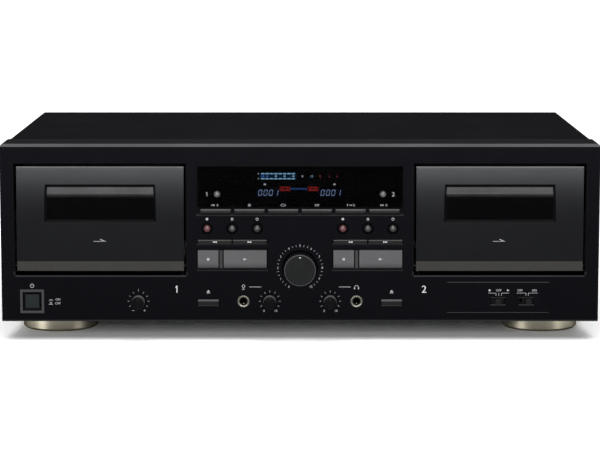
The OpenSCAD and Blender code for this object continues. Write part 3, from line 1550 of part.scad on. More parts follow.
front_panel();
top_cover();
bottom_chassis();
rear_panel();
feet();
case_screws();
display_window();
display_tube();
circuit_boards();
power_transformer();
transport_frames();
drive_motors();
drive_belts();
jack_sockets();
rear_sockets();
door(1);  // door_1
door(2);  // door_2
door_window(1);  // door_window_1
door_window(2);  // door_window_2
cassette_holder(1);  // cassette_holder_1
cassette_holder(2);  // cassette_holder_2
spindle(1, -1);  // supply_spindle_1
spindle(2, -1);  // supply_spindle_2
spindle(1, 1);  // takeup_spindle_1
spindle(2, 1);  // takeup_spindle_2
capstan_flywheel(1);  // capstan_flywheel_1
capstan_flywheel(2);  // capstan_flywheel_2
head_carriage(1);  // head_carriage_1
head_carriage(2);  // head_carriage_2
power_button();
eject_key(1);  // eject_key_1
eject_key(2);  // eject_key_2
stop_key(1);  // stop_key_1
stop_key(2);  // stop_key_2
play_key(1);  // play_key_1
play_key(2);  // play_key_2
rewind_key(1);  // rewind_key_1
rewind_key(2);  // rewind_key_2
forward_key(1);  // forward_key_1
forward_key(2);  // forward_key_2
record_button(1);  // record_button_1
record_button(2);  // record_button_2
pause_button(1);  // pause_button_1
pause_button(2);  // pause_button_2
mute_button(1);  // mute_button_1
mute_button(2);  // mute_button_2
counter_reset(1);  // counter_reset_1
counter_reset(2);  // counter_reset_2
thin_key(0);  // return_zero_key_1
thin_key(1);  // dimmer_key
thin_key(2);  // repeat_key
thin_key(3);  // parallel_key
thin_key(4);  // dub_key
thin_key(5);  // return_zero_key_2
level_knob();
pitch_knob();
mic_knob();
phones_knob();
timer_switch();
noise_switch();
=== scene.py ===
"""Looks of the double cassette deck: finishes, printed marks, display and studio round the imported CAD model.

Lengths in this file are in millimetres and in the CAD model's own frame: x to the right, y to the rear,
z up from the table. The piece builders turn them into metres.
"""

import math

import bmesh
import bpy
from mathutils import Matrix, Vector


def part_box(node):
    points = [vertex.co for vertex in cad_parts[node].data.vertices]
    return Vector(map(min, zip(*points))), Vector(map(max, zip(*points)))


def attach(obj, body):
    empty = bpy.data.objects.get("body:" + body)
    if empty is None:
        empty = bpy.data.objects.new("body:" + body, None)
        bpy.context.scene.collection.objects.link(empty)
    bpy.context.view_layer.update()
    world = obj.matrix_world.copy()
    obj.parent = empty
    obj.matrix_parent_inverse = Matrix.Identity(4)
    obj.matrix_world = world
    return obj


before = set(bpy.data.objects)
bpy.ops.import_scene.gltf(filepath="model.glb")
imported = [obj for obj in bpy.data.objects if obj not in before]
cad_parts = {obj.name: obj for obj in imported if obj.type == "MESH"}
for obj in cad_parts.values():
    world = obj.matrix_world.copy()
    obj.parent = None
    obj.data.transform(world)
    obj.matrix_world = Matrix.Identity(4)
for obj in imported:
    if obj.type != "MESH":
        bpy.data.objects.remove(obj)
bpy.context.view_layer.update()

MM = 0.001

# Faces of the model that carry pieces, as y
PANEL_FACE = -128.5
WINDOW_FACE = -128.35
TUBE_FACE = -124.0
WIDE_KEY_FACE = -129.3
BIG_KNOB_FACE = -142.5
GRIP_FACE = -138.0
REAR_FACE = 134.4

# Boards and transports are painted black as shade in front of this plane, where the doors' openings show them
INNER_FRONT = -100

# Heights of the rows of controls and of the marks over them
LOW_ROW_Z = 29.5
SWITCH_LABEL_Z = 37.5
DECK_NUMERAL_Z = 38.4
LEAD_Z = 40.05
BIG_KNOB_Z = 54.2
PLAY_Z = 60.55
WIND_Z = 73.2
ROUND_Z = 83.0
ROUND_LABEL_Z = 89.9
THIN_Z = 95.6
THIN_LABEL_Z = 100.1
RESET_Z = 108.1

# Controls along x
PITCH_X, MIC_X, PHONES_X = -117.8, -22.0, 22.0
SMALL_KNOBS = {"pitch_knob": PITCH_X, "mic_knob": MIC_X, "phones_knob": PHONES_X}
JACKS = (-41.2, 41.2)
EJECTS_X = (-66.8, 66.8)
RESETS_X = {1: -60.2, 2: 60.2}
SWITCHES_X = (144.5, 165.1)
THIN_KEYS = {
    "return_zero_key_1": -61.25, "dimmer_key": -36.75, "repeat_key": -12.25,
    "parallel_key": 12.25, "dub_key": 36.75, "return_zero_key_2": 61.25,
}
ROUND_BUTTONS = {1: (-67.5, -49.3, -31.1), 2: (31.1, 49.3, 67.5)}  # record, pause, mute of each deck
KEY_MARKS = {1: (-66.8, -39.9, -62.05, -36.55), 2: (31.8, 58.7, 36.55, 62.05)}  # stop, play, rewind, forward

# Doors: middle along x, lower band and arrow
DOORS_X = {1: -145.1, 2: 145.1}
BAND_W, BAND_H = 121.2, 7.0
BAND_Z = 55.45
ARROW_Z = 73.6

# Dials: degrees to either side of the middle, and the radii of the numerals and ticks
DIAL_TURN = 150
SMALL_DIAL_TURN = 120
DIAL_NUMERAL_R = 16.2
DIAL_TICKS = (15.4, 16.9)
SMALL_TICKS = (6.5, 7.9)
SMALL_DIAL_FOOT_Z = 22.4

# Heights of small letters, and widths of strokes
SMALL_TEXT = 1.6
DECK_NUMERAL_H = 5.2
BOLD, MEDIUM = 0.35, 0.3


# Piece builders

def link(obj):
    bpy.context.scene.collection.objects.link(obj)
    return obj


def glyph_mesh(text, thick):
    """The outlines of a short text as a mesh in the xy plane, in Blender's own font."""
    curve = bpy.data.curves.new("glyphs", "FONT")
    curve.body = text
    curve.extrude = thick / 2
    curve.resolution_u = 4
    holder = link(bpy.data.objects.new("glyphs", curve))
    graph = bpy.context.evaluated_depsgraph_get()
    mesh = bpy.data.meshes.new_from_object(holder.evaluated_get(graph))
    bpy.data.objects.remove(holder)
    bpy.data.curves.remove(curve)
    return mesh


class Marks:
    """Thin marks of one colour on a face that looks to the front, gathered into one mesh."""

    def __init__(self, face, proud=0.04, sunk=0.02):
        self.front = face - proud
        self.back = face + sunk
        self.bm = bmesh.new()

    def area(self, points):
        """A filled outline of (x, z) points."""
        front = [self.bm.verts.new((x * MM, self.front * MM, z * MM)) for x, z in points]
        back = [self.bm.verts.new((x * MM, self.back * MM, z * MM)) for x, z in points]
        self.bm.faces.new(front)
        self.bm.faces.new(back[::-1])
        for i in range(len(points)):
            j = (i + 1) % len(points)
            self.bm.faces.new((front[i], back[i], back[j], front[j]))

    def line(self, a, b, width=0.25):
        """A straight stroke from a to b."""
        a, b = Vector(a), Vector(b)
        side = (b - a).orthogonal().normalized() * width / 2
        self.area([a + side, b + side, b - side, a - side])

    def box(self, x, z, w, h):
        """A filled rectangle round its centre."""
        left, right, low, high = x - w / 2, x + w / 2, z - h / 2, z + h / 2
        self.area([(left, low), (right, low), (right, high), (left, high)])

    def frame(self, x, z, w, h, width=0.25):
        """The outline of a rectangle."""
        for s in (-1, 1):
            self.box(x, z + s * (h - width) / 2, w, width)
            self.box(x + s * (w - width) / 2, z, width, h - 2 * width)

    def arc(self, x, z, radius, start, end, width=0.25):
        """A stroke along a circle, between two angles in degrees from straight up, clockwise."""
        steps = max(2, round(abs(end - start) / 10))
        turns = [math.radians(start + (end - start) * i / steps) for i in range(steps + 1)]
        outer = [(x + (radius + width / 2) * math.sin(t), z + (radius + width / 2) * math.cos(t)) for t in turns]
        inner = [(x + (radius - width / 2) * math.sin(t), z + (radius - width / 2) * math.cos(t)) for t in turns]
        self.area(outer + inner[::-1])

    def ring(self, x, z, radius, width=0.25):
        """A full circle, drawn as two arcs."""
        self.arc(x, z, radius, 0, 180, width)
        self.arc(x, z, radius, 180, 360, width)

    def disc(self, x, z, radius, sides=20):
        """A filled circle."""
        turns = [2 * math.pi * i / sides for i in range(sides)]
        self.area([(x + radius * math.cos(t), z + radius * math.sin(t)) for t in turns])

    def triangle(self, x, z, w, h, way=1):
        """A triangle that points to the right, or to the left with way -1."""
        self.area([(x - way * w / 2, z - h / 2), (x + way * w / 2, z), (x - way * w / 2, z + h / 2)])

    def ticks(self, x, z, inner, outer, angles, width=0.25):
        """Short radial strokes round a centre, at angles in degrees from straight up."""
        for angle in angles:
            s, c = math.sin(math.radians(angle)), math.cos(math.radians(angle))
            self.line((x + inner * s, z + inner * c), (x + outer * s, z + outer * c), width)

    def glyphs(self, text, x, z, height):
        """A short text, centred."""
        mesh = glyph_mesh(text, abs(self.front - self.back) * MM)
        first = len(self.bm.verts)
        self.bm.from_mesh(mesh)
        bpy.data.meshes.remove(mesh)
        self.bm.verts.ensure_lookup_table()
        mine = self.bm.verts[first:]
        low = [min(v.co[k] for v in mine) for k in (0, 1)]
        high = [max(v.co[k] for v in mine) for k in (0, 1)]
        scale = height * MM / (high[1] - low[1])
        middle = (self.front + self.back) / 2 * MM
        for v in mine:
            across = (v.co.x - (low[0] + high[0]) / 2) * scale
            up = (v.co.y - (low[1] + high[1]) / 2) * scale
            v.co = (x * MM + across, middle - v.co.z, z * MM + up)

    def one(self, x, z, height, stroke=0.13):
        """The numeral 1 with a flag, centred; stroke is its width as a share of the height."""
        h, w = height / 2, height * stroke
        self.area([(x + w / 2, z - h), (x + w / 2, z + h), (x - w / 2, z + h), (x - 1.6 * w, z + 0.62 * h),
                   (x - 1.6 * w, z + 0.3 * h), (x - w / 2, z + 0.52 * h), (x - w / 2, z - h)])

    def place(self, name, body, material, slot=None):
        """Makes the gathered marks a piece that rides on a body."""
        return piece_of(self.bm, name, body, material)


def piece_of(bm, name, body, material, smooth=False):
    """Makes a built form a piece that rides on a body."""
    bmesh.ops.recalc_face_normals(bm, faces=bm.faces)
    for face in bm.faces:
        face.smooth = smooth
    mesh = bpy.data.meshes.new(name)
    bm.to_mesh(mesh)
    bm.free()
    mesh.materials.append(material)
    piece = link(bpy.data.objects.new(name, mesh))
    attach(piece, body)
    return piece


def turned(name, profile, x, z, body, material, steps=48, flutes=0, flute_depth=0.0, smooth=False):
    """A form turned round an axis along y. The profile is a closed outline of (radius, y) points, or for a solid
    form an open one that starts and ends at radius 0. Flutes cut into its widest points."""
    bm = bmesh.new()
    solid = profile[0][0] == 0
    widest = max(r for r, y in profile)
    ends = [bm.verts.new((x * MM, y * MM, z * MM)) for y in (profile[0][1], profile[-1][1])] if solid else []
    outline = profile[1:-1] if solid else profile
    rings = []
    for i in range(steps):
        t = 2 * math.pi * i / steps
        cut = flute_depth * (0.5 - 0.5 * math.cos(flutes * t))
        rings.append([
            bm.verts.new((
                (x + (r - cut * (r == widest)) * math.cos(t)) * MM, y * MM,
                (z + (r - cut * (r == widest)) * math.sin(t)) * MM,
            ))
            for r, y in outline
        ])
    for i in range(steps):
        a, b = rings[i], rings[(i + 1) % steps]
        for k in range(len(outline) - solid):
            m = (k + 1) % len(outline)
            bm.faces.new((a[k], a[m], b[m], b[k]))
        if solid:
            bm.faces.new((ends[0], a[0], b[0]))
            bm.faces.new((ends[1], b[-1], a[-1]))
    return piece_of(bm, name, body, material, smooth)


def drawn(name, section, x, w, body, material):
    """A bar along x, w long round x: its cross-section is a closed outline of (y, z) points."""
    bm = bmesh.new()
    ends = (x - w / 2, x + w / 2)
    left, right = ([bm.verts.new((end * MM, y * MM, z * MM)) for y, z in section] for end in ends)
    bm.faces.new(left)
    bm.faces.new(right[::-1])
    for k in range(len(section)):
        m = (k + 1) % len(section)
        bm.faces.new((left[k], right[k], right[m], left[m]))
    return piece_of(bm, name, body, material)


# Materials

class Graph:
    """The node graph of a material or world, with short calls to add nodes and set or link their inputs."""

    def __init__(self, owner):
        owner.use_nodes = True
        self.owner = owner
        self.tree = owner.node_tree
        self.tree.nodes.clear()

    def add(self, kind, inputs=None, **settings):
        node = self.tree.nodes.new("ShaderNode" + kind)
        for key, value in settings.items():
            setattr(node, key, value)
        for key, value in (inputs or {}).items():
            if isinstance(value, bpy.types.NodeSocket):
                self.tree.links.new(value, node.inputs[key])
            else:
                node.inputs[key].default_value = value
        return node

    def place(self):
        """A point's place in the model, in metres; it moves with the piece."""
        return self.add("TexCoord").outputs["Object"]

    def along(self, axis):
        """One coordinate of the place."""
        return self.add("SeparateXYZ", {"Vector": self.place()}).outputs[axis]

    def noise(self, size, detail=3.0, stretch=(1, 1, 1)):
        """A noise whose lumps are about size mm, stretched along the axes."""
        scale = tuple(1 / (size * MM * s) for s in stretch)
        place = self.add("Mapping", {"Vector": self.place(), "Scale": scale}).outputs["Vector"]
        return self.add("TexNoise", {
            "Vector": place, "Scale": 1.0, "Detail": detail, "Roughness": 0.5,
        }).outputs["Fac"]

    def spread(self, value, low, high):
        """A noise value mapped to a range of numbers."""
        return self.add("MapRange", {
            "Value": value, "From Min": 0.3, "From Max": 0.7, "To Min": low, "To Max": high,
        }).outputs["Result"]

    def math(self, operation, a, b=0.0):
        return self.add("Math", {0: a, 1: b}, operation=operation).outputs[0]

    def blend(self, factor, a, b):
        """Colour a where factor is 0 and colour b where it is 1."""
        a, b = (rgba(c) if isinstance(c, tuple) else c for c in (a, b))
        return self.add("Mix", {0: factor, 6: a, 7: b}, data_type="RGBA").outputs[2]

    def mix(self, factor, a, b):
        """Number a where factor is 0 and number b where it is 1."""
        if a == b:
            return a
        return self.add("Mix", {0: factor, 2: a, 3: b}, data_type="FLOAT").outputs[0]

    # Masks: 1 on a part of the surface and 0 elsewhere

    def above(self, axis, limit):
        return self.math("GREATER_THAN", self.along(axis), limit * MM)

    def below(self, axis, limit):
        return self.math("LESS_THAN", self.along(axis), limit * MM)

    def between(self, axis, low, high):
        return self.all(self.above(axis, low), self.below(axis, high))

    def ramp(self, axis, start, end):
        """Rises softly from 0 at start to 1 at end."""
        return self.add("MapRange", {
            "Value": self.along(axis), "From Min": start * MM, "From Max": end * MM,
        }, interpolation_type="SMOOTHSTEP").outputs["Result"]

    def lean(self):
        """How far a face looks to the front or back, from 0 to 1."""
        normal = self.add("SeparateXYZ", {"Vector": self.add("TexCoord").outputs["Normal"]})
        return self.math("ABSOLUTE", normal.outputs["Y"])

    def bevels(self):
        """The faces that lean between a front and a side."""
        lean = self.lean()
        return self.all(self.math("GREATER_THAN", lean, 0.3), self.math("LESS_THAN", lean, 0.96))

    def sides(self):
        """The faces that look sideways, up or down."""
        return self.math("LESS_THAN", self.lean(), 0.3)

    def seen(self):
        """1 for rays from the camera and for those that gloss or glass sends on, and 0 for the rest."""
        path = self.add("LightPath").outputs
        gloss_or_glass = self.math("MAXIMUM", path["Is Glossy Ray"], path["Is Transmission Ray"])
        return self.math("MAXIMUM", path["Is Camera Ray"], gloss_or_glass)

    def all(self, *masks):
        whole = masks[0]
        for mask in masks[1:]:
            whole = self.math("MULTIPLY", whole, mask)
        return whole

    def bump(self, height, depth, bevel=0.0):
        """A normal with that height in mm, over edges rounded by bevel mm."""
        inputs = {"Height": height, "Distance": depth * MM, "Strength": 1.0}
        if bevel:
            inputs["Normal"] = self.add("Bevel", {"Radius": bevel * MM}, samples=4).outputs["Normal"]
        return self.add("Bump", inputs).outputs["Normal"]

    def output(self, shader, kind="Material"):
        """Ends the graph in that shader and gives the finished material or world."""
        self.add("Output" + kind, {"Surface": shader})
        return self.owner


def rgba(colour, factor=1.0):
    return (colour[0] * factor, colour[1] * factor, colour[2] * factor, 1.0)


def finish(name, colour, rough, metal=0.0, level=0.5, laid=(), uneven=0.15, patch=25.0, rough_swing=0.04,
           grain=0.25, depth=0.004, bevel=0.0, stretch=(1, 1, 1), alpha=1.0, tint=(1, 1, 1)):
    """A moulded, painted or plated surface: uneven tone in patches, uneven gloss, a fine grain and soft edges.
    laid has the finishes, painted highlights and painted shade that cover parts of it, each a mask, a colour, a
    roughness and a metallic share."""
    g = Graph(bpy.data.materials.new(name))
    tone, gloss = colour, rough
    for mask, other_colour, other_rough, other_metal in laid:
        where = mask(g)
        tone = g.blend(where, tone, other_colour)
        gloss = g.mix(where, gloss, other_rough)
        metal = g.mix(where, metal, other_metal)
    patches = g.spread(g.noise(patch, stretch=stretch), 1 - uneven, 1 + uneven)
    swing = g.spread(g.noise(patch / 3, stretch=stretch), -rough_swing, rough_swing)
    shader = g.add("BsdfPrincipled", {
        "Base Color": g.add("VectorMath", {0: tone, "Scale": patches}, operation="SCALE").outputs[0],
        "Metallic": metal,
        "Roughness": g.math("ADD", gloss, swing),
        "Specular IOR Level": level,
        "Specular Tint": rgba(tint),
        "Alpha": alpha,
        "Normal": g.bump(g.noise(grain, detail=2.0, stretch=stretch), depth, bevel=bevel),
    })
    return g.output(shader.outputs["BSDF"])


def glow(name, colour, strength):
    """Lit phosphor: its brightness varies a little, as behind the tube's fine mesh."""
    g = Graph(bpy.data.materials.new(name))
    mesh = g.noise(0.5, detail=1.0)
    shader = g.add("BsdfPrincipled", {
        "Base Color": rgba(colour, 0.3),
        "Roughness": 0.6,
        "Emission Color": rgba(colour),
        "Emission Strength": g.spread(mesh, 0.85 * strength, 1.1 * strength),
    })
    return g.output(shader.outputs["BSDF"])


def dress(material, *nodes):
    """Gives CAD nodes that material."""
    for node in nodes:
        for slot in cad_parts[node].material_slots:
            slot.material = material


def both(stem):
    """The two nodes of a pair."""
    return [f"{stem}_1", f"{stem}_2"]


# Tones and colours that several finishes share: the black of painted shade, the grey of painted edge highlights,
# and brass
SHADE_BLACK = (0.0010, 0.0010, 0.0012)
EDGE_HIGHLIGHT_GREY = (0.050, 0.049, 0.050)
BRASS = (0.62, 0.50, 0.26)

# Zones with a finish or painted light of their own. On the front panel, along z: the top edge with its painted
# highlight and the top face, the holes of the round buttons, which get no painted edge highlight, and the ribs
# between the stop and play keys
TOP_EDGE_Z, TOP_FACE_Z = 140, 144.7
BUTTON_HOLES_Z = (75, 91.5)
RIBS_Z = (53, 68)
# Halves of the squares that hold the level knob's well, painted black as shade, and the front of the power
# button
WELL_HALF = 13.1
POWER_HALF = 4.85

panel_plastic = finish(
    "panel_plastic", (0.0009, 0.0009, 0.0014), 0.25, level=0.032, tint=(0.85, 0.86, 1.0), uneven=0.12, patch=60,
    rough_swing=0.015, grain=0.5, depth=0.0015, bevel=0.25, laid=[
        # Painted highlights on the moulded edges, brightest on the top one, but none on those of the round
        # button holes
        (lambda g: g.bevels(), (0.017, 0.017, 0.018), 0.3, 0.0),
        (lambda g: g.all(g.bevels(), g.above("Z", TOP_EDGE_Z)), (0.060, 0.060, 0.062), 0.3, 0.0),
        (lambda g: g.between("Z", *BUTTON_HOLES_Z), (0.0008, 0.0008, 0.0013), 0.25, 0.0),
        # The top face is matt
        (lambda g: g.above("Z", TOP_FACE_Z), (0.0009, 0.0009, 0.0014), 1.0, 0.0),
        # Painted shade: the well round the level knob is painted black
        (lambda g: g.all(g.above("Y", -128.3), g.between("Z", BIG_KNOB_Z - WELL_HALF, BIG_KNOB_Z + WELL_HALF),
                         g.between("X", -WELL_HALF, WELL_HALF)), (0.0, 0.0, 0.0), 0.9, 0.0),
        # Ribs between the keys, and the frame round the power button
        (lambda g: g.all(g.below("Y", -128.75), g.between("Z", *RIBS_Z)), (0.030, 0.030, 0.031), 0.4, 0.0),
        (lambda g: g.all(g.below("Y", -128.6), g.below("X", -180)), (0.034, 0.034, 0.036), 0.4, 0.0),
    ])
door_plastic = finish(
    "door_plastic", (0.0004, 0.0004, 0.0006), 0.25, level=0.08, tint=(0.93, 0.95, 1.0), uneven=0.1, patch=50,
    rough_swing=0.01, grain=0.5, depth=0.001, bevel=0.3, laid=[
        # Painted shade on the edges below, and a painted highlight on the rim along the top
        (lambda g: g.all(g.bevels(), g.below("Z", 120)), SHADE_BLACK, 0.5, 0.0),
        (lambda g: g.ramp("Z", 125.3, 127.5), (0.014, 0.014, 0.0145), 0.25, 0.0),
        (lambda g: g.all(g.bevels(), g.above("Z", 126.5)), (0.21, 0.21, 0.214), 0.3, 0.0),
    ])
cover_paint = finish("cover_paint", (0.0088, 0.0087, 0.0095), 0.65, level=0.0, uneven=0.1,
                     patch=80, rough_swing=0.04, grain=0.6, depth=0.02)
rear_paint = finish("rear_paint", (0.010, 0.010, 0.011), 0.55, level=0.2, uneven=0.2, patch=60,
                    rough_swing=0.04, grain=0.6, depth=0.02)
chassis_steel = finish("chassis_steel", (0.42, 0.43, 0.44), 0.42, metal=1.0, uneven=0.12, patch=18,
                       rough_swing=0.08, grain=0.4, depth=0.004)
screw_steel = finish("screw_steel", (0.10, 0.10, 0.11), 0.35, metal=1.0, uneven=0.15, patch=3,
                     grain=0.2, depth=0.003, bevel=0.15)
foot_gold = finish("foot_gold", (0.24, 0.222, 0.172), 0.36, metal=1.0, tint=(0.1, 0.1, 0.09), uneven=0.06,
                   patch=12, rough_swing=0.03, grain=0.35, depth=0.002, stretch=(14, 14, 1), bevel=0.3)
board_green = finish("board_green", (0.03, 0.11, 0.045), 0.4, level=0.1, uneven=0.3, patch=4,
                     grain=0.6, depth=0.03, laid=[
    # Painted shade: the boards behind the front panel are black, where the doors' openings show them
    (lambda g: g.below("Y", INNER_FRONT), SHADE_BLACK, 0.7, 0.0),
])
transformer_iron = finish("transformer_iron", (0.22, 0.20, 0.18), 0.5, metal=0.7, uneven=0.3, patch=30,
                          grain=0.5, depth=0.15, stretch=(40, 1, 40))
transport_zinc = finish("transport_zinc", (0.45, 0.45, 0.46), 0.45, metal=1.0, level=0.05, uneven=0.12, patch=9,
                        rough_swing=0.1, grain=0.4, depth=0.01, laid=[
    # Painted shade: black where it faces the doors
    (lambda g: g.below("Y", INNER_FRONT), SHADE_BLACK, 0.8, 0.0),
])
belt_rubber = finish("belt_rubber", (0.012, 0.012, 0.012), 0.7, uneven=0.3, patch=4, grain=0.2, depth=0.01)
holder_black = finish("holder_black", (0.006, 0.006, 0.007), 0.5, level=0.2, uneven=0.2, patch=12, depth=0.01,
                      bevel=0.2)
spindle_black = finish("spindle_black", (0.03, 0.03, 0.032), 0.4, uneven=0.2, patch=4, depth=0.004, bevel=0.15)
flywheel_brass = finish("flywheel_brass", (0.60, 0.47, 0.22), 0.32, metal=1.0, uneven=0.12, patch=10,
                        rough_swing=0.1, grain=0.3, depth=0.004)
head_steel = finish("head_steel", (0.45, 0.45, 0.46), 0.35, metal=1.0, level=0.05, uneven=0.15, patch=5,
                    bevel=0.2, laid=[
    # Painted shade: the plate that carries the heads is black
    (lambda g: g.below("Z", 54), SHADE_BLACK, 0.7, 0.0),
])
key_grey = finish("key_grey", (0.052, 0.052, 0.054), 0.42, level=0.15, uneven=0.05, patch=12,
                  rough_swing=0.03, grain=0.35, depth=0.003, bevel=0.3, laid=[
    # Painted shade: darker towards the lower edge
    (lambda g: g.ramp("Z", 58.5, 54.0), (0.022, 0.022, 0.023), 0.42, 0.0),
])
key_dark = finish("key_dark", (0.0035, 0.0035, 0.004), 0.32, level=0.07, uneven=0.08, patch=10,
                  rough_swing=0.03, grain=0.35, depth=0.003, bevel=0.15, laid=[
    # Painted highlight on the edges
    (lambda g: g.bevels(), EDGE_HIGHLIGHT_GREY, 0.35, 0.0),
    # Painted highlight on the slopes of the thin keys
    (lambda g: g.all(g.bevels(), g.above("Z", THIN_Z)), (0.085, 0.084, 0.085), 0.3, 0.0),
])


def button_finish(name):
    """The body of a round button under its cap, painted black as the shade in its hole."""
    return finish(name, SHADE_BLACK, 0.7, level=0.05, patch=3)


def cap_finish(name, colour):
    """The glossy moulded cap of a round button."""
    return finish(name, colour, 0.28, level=0.45, uneven=0.12, patch=3, grain=0.2, depth=0.002)


button_dark = button_finish("button_dark")
button_red = button_finish("button_red")
button_grey = button_finish("button_grey")
cap_dark = cap_finish("cap_dark", (0.009, 0.009, 0.0095))
cap_grey = cap_finish("cap_grey", (0.055, 0.055, 0.057))
cap_red = cap_finish("cap_red", (0.052, 0.010, 0.013))
knob_plastic = finish("knob_plastic", (0.0026, 0.0029, 0.0032), 0.3, level=0.08, uneven=0.12, patch=10,
                      rough_swing=0.03, grain=0.3, depth=0.004, bevel=0.2, laid=[
    # Painted highlight on the edges
    (lambda g: g.bevels(), (0.048, 0.048, 0.050), 0.3, 0.0),
    # Pointer on the level knob's face
    (lambda g: g.all(g.below("Y", BIG_KNOB_FACE + 0.1), g.between("Z", BIG_KNOB_Z + 8.3, BIG_KNOB_Z + 9.8),
                     g.between("X", -0.55, 0.55)), (0.42, 0.42, 0.43), 0.5, 0.0),
])
grip_plastic = finish("grip_plastic", (0.0009, 0.0009, 0.0012), 0.3, level=0.035, uneven=0.12, patch=6,
                      rough_swing=0.03, grain=0.3, depth=0.004, laid=[
    # Painted highlight: the fluted side is painted lighter than the face, and the face's rim a little lighter
    # than the face
    (lambda g: g.bevels(), (0.0025, 0.0025, 0.0028), 0.3, 0.0),
    (lambda g: g.sides(), (0.11, 0.11, 0.115), 0.35, 0.0),
])
# Middle of the power button
POWER_X, _, POWER_Z = ((low + high) / 2 / MM for low, high in zip(*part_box("power_button")))
# The power button is painted black as the shade of its well, all but the front of its cap
power_plastic = finish("power_plastic", SHADE_BLACK, 0.6, level=0.08, uneven=0.1, patch=8,
                       grain=0.3, depth=0.004, bevel=0.3, laid=[
    # Front of the cap, inside its edges
    (lambda g: g.all(g.below("Y", -127.4), g.between("X", POWER_X - POWER_HALF, POWER_X + POWER_HALF),
                     g.between("Z", POWER_Z - POWER_HALF, POWER_Z + POWER_HALF)),
     (0.0045, 0.0068, 0.0076), 0.4, 0.0),
])
# The sliders are painted black as the shade in their slots, all but their fronts
slide_plastic = finish("slide_plastic", SHADE_BLACK, 0.6, level=0.07, uneven=0.15, patch=3,
                       grain=0.2, depth=0.004, bevel=0.2, laid=[
    # Front of the slider
    (lambda g: g.below("Y", -126.5), (0.0022, 0.0022, 0.0028), 0.4, 0.0),
])
lens_smoke = finish("lens_smoke", (0.0003, 0.0003, 0.0004), 0.09, level=0.02, uneven=0.15, patch=20,
                    rough_swing=0.02, grain=2.0, depth=0.0005, alpha=0.94, bevel=0.3, laid=[
    # Painted reflection: paler along its upper edge, where it curves back. Above that, painted shadow under the
    # top of the opening
    (lambda g: g.ramp("Z", 104.8, 112.8), (0.075, 0.075, 0.077), 0.2, 0.0),
    (lambda g: g.above("Z", 112.9), SHADE_BLACK, 0.3, 0.0),
])
display_black = finish("display_black", (0.0003, 0.0003, 0.0004), 0.12, level=0.012, uneven=0.2, patch=30,
                       rough_swing=0.02, grain=2.0, depth=0.0004, alpha=0.75)
tube_glass = finish("tube_glass", (0.0012, 0.0014, 0.0018), 0.3, level=0.05, uneven=0.3, patch=8,
                    grain=0.4, depth=0.002)
jack_black = finish("jack_black", (0.004, 0.004, 0.003), 0.4, level=0.2, bevel=0.2, laid=[
    # Metal ring in front of the panel
    (lambda g: g.below("Y", -128.45), (0.06, 0.058, 0.048), 0.35, 1.0),
])
ring_nickel = finish("ring_nickel", (0.085, 0.083, 0.070), 0.32, metal=1.0, uneven=0.12, patch=3, grain=0.2,
                     depth=0.002)
socket_black = finish("socket_black", (0.015, 0.015, 0.016), 0.45, bevel=0.15, laid=[
    # Metal that stands out of the rear
    (lambda g: g.above("Y", 134.6), BRASS, 0.28, 1.0),
])

dress(panel_plastic, "front_panel")
dress(cover_paint, "top_cover")
dress(rear_paint, "rear_panel")
dress(chassis_steel, "bottom_chassis")
dress(screw_steel, "case_screws")
dress(foot_gold, "feet")
dress(display_black, "display_window")
dress(tube_glass, "display_tube")
dress(board_green, "circuit_boards")
dress(transformer_iron, "power_transformer")
dress(transport_zinc, "transport_frames", "drive_motors")
dress(belt_rubber, "drive_belts")
dress(jack_black, "jack_sockets")
dress(socket_black, "rear_sockets")
dress(door_plastic, *both("door"))
dress(lens_smoke, *both("door_window"))
dress(holder_black, *both("cassette_holder"))
dress(spindle_black, *both("supply_spindle"), *both("takeup_spindle"))
dress(flywheel_brass, *both("capstan_flywheel"))
dress(head_steel, *both("head_carriage"))
dress(key_grey, *both("stop_key"), *both("play_key"))
dress(key_dark, *both("rewind_key"), *both("forward_key"), *both("eject_key"), *both("return_zero_key"),
      "dimmer_key", "repeat_key", "parallel_key", "dub_key")
dress(button_red, *both("record_button"))
dress(button_dark, *both("pause_button"), *both("mute_button"))
dress(button_grey, *both("counter_reset"))
dress(knob_plastic, "level_knob", "pitch_knob", "mic_knob", "phones_knob")
dress(power_plastic, "power_button")
dress(slide_plastic, "timer_switch", "noise_switch")


def ink(name, colour, uneven=0.12):
    """Matt printing ink."""
    return finish(name, colour, 0.6, level=0.2, uneven=uneven, patch=2, grain=0.2, depth=0.003)


print_ink = ink("print_ink", (0.27, 0.27, 0.28))
print_bright = ink("print_bright", (0.42, 0.42, 0.43), uneven=0.08)
print_faint = ink("print_faint", (0.032, 0.032, 0.034))
band_grey = finish("band_grey", (0.0200, 0.0195, 0.0172), 0.4, level=0.08, uneven=0.05, patch=20,
                   rough_swing=0.02, grain=0.4, depth=0.002, bevel=0.1)
glow_bar = glow("glow_bar", (0.36, 0.70, 1.0), 6.0)
glow_digit = glow("glow_digit", (0.42, 0.60, 1.0), 7.5)
glow_white = glow("glow_white", (0.85, 0.92, 1.0), 4.8)
glow_blue = glow("glow_blue", (0.10, 0.32, 1.0), 3.6)
glow_dim = glow("glow_dim", (0.02, 0.05, 0.30), 0.12)
glow_halo = glow("glow_halo", (0.01, 0.13, 0.45), 0.75)
glow_red = glow("glow_red", (1.0, 0.06, 0.055), 2.0)
glow_rose = glow("glow_rose", (1.0, 0.20, 0.22), 2.6)
# Pointer grooves, painted black as their shade
pointer_black = finish("pointer_black", SHADE_BLACK, 0.5, level=0.1, patch=2)
socket_white = finish("socket_white", (0.72, 0.72, 0.70), 0.4, uneven=0.05, patch=4, bevel=0.2)
socket_red = finish("socket_red", (0.55, 0.03, 0.03), 0.4, uneven=0.08, patch=4, bevel=0.2)


# Printed marks on the front panel

